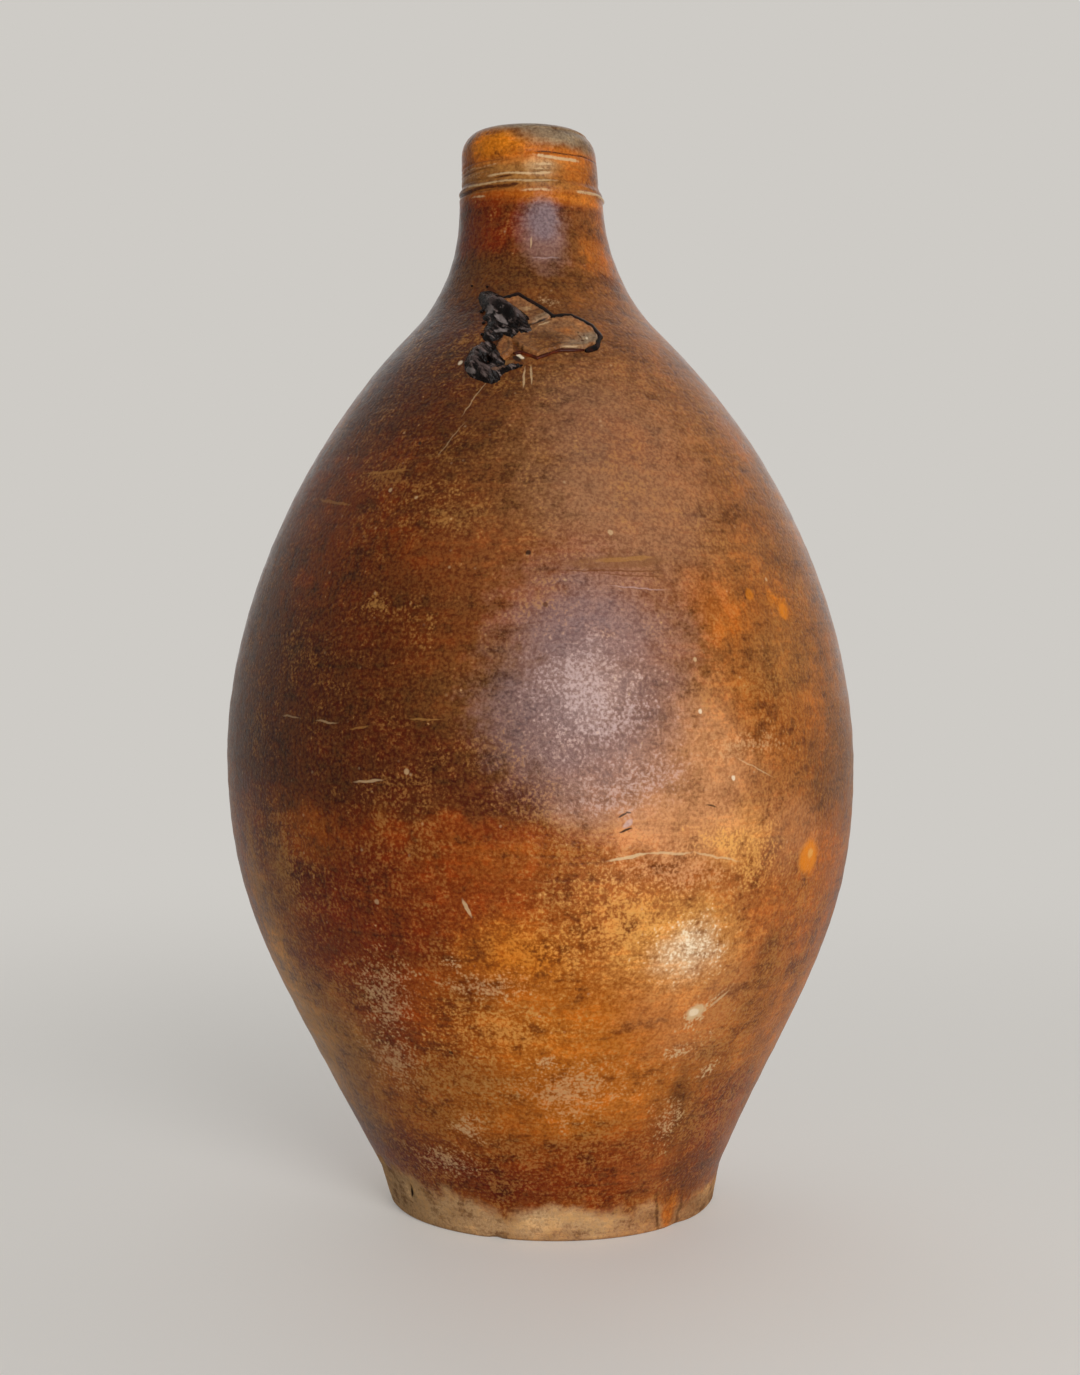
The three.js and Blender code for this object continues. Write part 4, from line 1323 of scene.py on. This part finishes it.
FLAKE_CRACK = [(-0.0030, 0.3222), (0.0010, 0.3240), (0.0046, 0.3248)]
FLAKE_CRACK_DEPTH = 0.0010
FLAKE_CRACK_HALF = 0.0005
FLAKE_RIM = 0.0005
FLAKE_RIM_INSIDE = 0.0009
FLAKE_RIM_HALF = 0.0006
FLAKE_SKIN = 0.00012
FLAKE_SKIN_WAVES = 900
FLAKE_ROOT = 0.0004


def flake_lift(side, height):
    """The plate's lift: a snapped edge, a slightly hollow face and an old crack."""
    waver = FLAKE_WAVER * scar_noise(side, height, FLAKE_WAVER_WAVES, 1)
    outside = min(beyond_edge(side, height, FLAKE_EDGE), beyond_edge(side, height, SMALL_PLATE)) + waver
    body = smooth_share(-outside, *FLAKE_SNAP)
    face = FLAKE_LIFT * (1 + FLAKE_HOLLOW * scar_noise(side, height, FLAKE_HOLLOW_WAVES, 5))
    skin = FLAKE_SKIN * scar_noise(side, height, FLAKE_SKIN_WAVES, 2)
    face += FLAKE_RIM * hump(outside, -FLAKE_RIM_INSIDE, FLAKE_RIM_HALF) + skin
    crack_gap, _ = from_line(side, height, FLAKE_CRACK)
    face -= FLAKE_CRACK_DEPTH * hump(crack_gap, 0, FLAKE_CRACK_HALF)
    return body * (face + FLAKE_ROOT) - FLAKE_ROOT


FLAKE_LEVELS = [(0.305, seen(134, 88, 54)), (0.318, seen(138, 96, 64)), (0.340, seen(150, 104, 70))]
FLAKE_PATCHES = [
    (ASH_GREY, 19, 0.3165, 0.0040, 0.0040, 0, 0.80),
    (ORANGE, 11, 0.3200, 0.0030, 0.0024, 0, 0.50),
    (CREAM, -5, 0.3285, 0.0022, 0.0010, -30, 0.60),
    (UMBER, 0, 0.3160, 0.0060, 0.0034, 0, 0.75),
    (ASH_GREY, 5, 0.3240, 0.0060, 0.0012, 0, 0.60),
    (ASH_GREY, 12, 0.3150, 0.0060, 0.0012, 0, 0.50),
]
FLAKE_MARKS = [
    (CHAR, 1.5, 0.3236, 0.0044, 0.00060, 26, 0.85),
    (CHAR, -3.0, 0.3213, 0.0028, 0.00070, 50, 0.80),
    (CREAM, 3.5, 0.3226, 0.0030, 0.00040, 20, 0.60),
    (CREAM, 12, 0.3140, 0.0050, 0.00040, 2, 0.50),
    (DARK_BROWN, 16.5, 0.3178, 0.0012, 0.00040, -50, 0.85),
]
FLAKE_SPOTS = [
    (DARK_BROWN, 17.0, 0.3165, 0.00070, 0.90),
    (DARK_BROWN, 18.2, 0.3184, 0.00055, 0.85),
    (DARK_BROWN, 16.2, 0.3195, 0.00050, 0.80),
    (CHALK, 19.0, 0.3172, 0.00060, 0.60),
]
torn_flake = crust("torn_flake", -0.0165, 0.0220, 0.3070, 0.3350, FLAKE_STEP, flake_lift)
flake_glaze = salt_glaze("flake_salt_glaze", FLAKE_LEVELS, FLAKE_PATCHES, (), (), FLAKE_MARKS, FLAKE_SPOTS)
torn_flake.data.materials.append(flake_glaze)
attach(torn_flake, "root")
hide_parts("kiln_flake")

# Glass that ran along the flake's edge, as lines of sides and heights.
UPPER_SEAM = [
    (-0.0196, 0.3350), (-0.0132, 0.3326), (-0.0075, 0.3340), (0.0, 0.3289), (0.0046, 0.3252),
    (0.0108, 0.3258), (0.0180, 0.3220), (0.0209, 0.3179), (0.0192, 0.3138), (0.0160, 0.3124),
]
SLAG_SEAM = [(-0.0150, 0.3326), (-0.0100, 0.3290), (-0.0040, 0.3238)]
LOWER_SEAM = [
    (0.0152, 0.3126), (0.0070, 0.3124), (-0.0010, 0.3093), (-0.0066, 0.3116), (-0.0090, 0.3110),
]
BLACK_GLASS = (seen(10, 5, 4), seen(38, 14, 7))
RUSTY_GLASS = (seen(60, 20, 6), seen(112, 44, 14))
# Each bead of glass: the piece's name, its line, half width, rise and tones.
GLASS_SEAMS = [
    ("seam_glass_upper", UPPER_SEAM, 0.00112, 0.0012, BLACK_GLASS),
    ("seam_glass_slag", SLAG_SEAM, 0.00100, 0.0018, BLACK_GLASS),
    ("seam_glass_lower", LOWER_SEAM, 0.00055, 0.0007, RUSTY_GLASS),
]
SEAM_STEP = 0.00016
SEAM_SWELL = 0.35
SEAM_WAVES = 330
SEAM_TAPER = (-0.05, 0.06)


def seam_lift(line, half, rise):
    """The lift of a bead of glass along a line, swelling and shrinking as it goes."""
    def lift_at(side, height):
        away, along = from_line(side, height, line)
        width = half * (1 + SEAM_SWELL * scar_noise(side, height, SEAM_WAVES, 7))
        width *= smooth_share(along, *SEAM_TAPER) * smooth_share(1 - along, *SEAM_TAPER)
        if away >= width:
            return -CRUST_SINK * min((away - width) / half, 0.5)
        return rise * math.sqrt(1 - (away / width) ** 2)
    return lift_at


def seam_material(name, deep, thin):
    """Dark glass that turns rusty where it ran thin."""
    glass = Recipe(name)
    runs = glass.noise(glass.place, 0.0022, 3, 0.6)
    colour = glass.coated(deep, thin, runs, 0.45, 0.70)
    glass.shade(Base_Color=colour, Roughness=0.34, Specular_IOR_Level=0.10)
    return glass.material


for name, line, half, rise, tones in GLASS_SEAMS:
    sides = [side for side, height in line]
    heights = [height for side, height in line]
    margin = 3 * half
    window = (min(sides) - margin, max(sides) + margin, min(heights) - margin, max(heights) + margin)
    seam = crust(name, *window, SEAM_STEP, seam_lift(line, half, rise))
    seam.data.materials.append(seam_material(name + "_tone", *tones))
    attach(seam, "root")


# The studio: a plain pale floor, a soft key light from the front right, and weak light round
# the rest, so that the jug reads from every side.
FLOOR_RADIUS = 8.0
FLOOR_FADE_START = 0.12
FLOOR_FADE_END = 1.05
FLOOR_LIFT = 0.36
PALE = seen(206, 203, 198)
WORLD_LIGHT = 0.12

floor_mesh = bmesh.new()
bmesh.ops.create_circle(floor_mesh, cap_ends=True, radius=FLOOR_RADIUS, segments=96)
floor = finished("studio_floor", floor_mesh)
pale_floor = Recipe("pale_floor")
shown_floor = pale_floor.shown()
from_jug = pale_floor.vector("LENGTH", pale_floor.place, output=1)
far = pale_floor.share(from_jug, FLOOR_FADE_START, FLOOR_FADE_END)
pale_floor.shade(
    Base_Color=PALE, Roughness=0.8, Emission_Color=PALE,
    Emission_Strength=pale_floor.times(shown_floor, FLOOR_LIFT),
)
glow = pale_floor.node("ShaderNodeEmission", {"Color": PALE})
faded_floor = {0: pale_floor.times(shown_floor, far), 1: pale_floor.shader.outputs[0], 2: glow}
floor_surface = pale_floor.node("ShaderNodeMixShader", faded_floor)
pale_floor.feed(pale_floor.tree.nodes["Material Output"].inputs[0], floor_surface)
floor.data.materials.append(pale_floor.material)

AIM = Vector((0, 0, 0.2))


def soft_light(name, degrees, elevation, distance, size, strength, mirrored=True):
    """A square soft box aimed at the jug's middle. A white card facing it shows at its strength.
    One that isn't mirrored lights the clay, but leaves no glare in the glaze."""
    data = bpy.data.lights.new(name, "AREA")
    data.shape = "SQUARE"
    data.size = size
    data.energy = strength * (math.pi * distance) ** 2
    lamp = bpy.data.objects.new(name, data)
    around, up = math.radians(degrees), math.radians(elevation)
    away = Vector((math.sin(around) * math.cos(up), -math.cos(around) * math.cos(up), math.sin(up)))
    lamp.location = AIM + away * distance
    lamp.rotation_euler = away.to_track_quat("Z", "Y").to_euler()
    lamp.visible_camera = False
    lamp.visible_glossy = mirrored
    bpy.context.collection.objects.link(lamp)


soft_light("key_light", 21, 9, 1.25, 0.55, 0.84)
soft_light("top_light", 0, 80, 1.6, 1.2, 0.04)
soft_light("left_light", -135, 15, 1.8, 2.2, 0.26, mirrored=False)
soft_light("back_light", 175, 30, 1.8, 2.2, 0.40)

world = bpy.data.worlds.new("studio")
bpy.context.scene.world = world
sky = Nodes(world)
sky_light = {"Value": sky.shown(), "To Min": WORLD_LIGHT, "To Max": 1.0}
background = sky.tree.nodes["Background"]
sky.feed(background.inputs["Strength"], sky.node("ShaderNodeMapRange", sky_light))
sky.feed(background.inputs["Color"], PALE)

bpy.context.scene.view_settings.view_transform = "Standard"
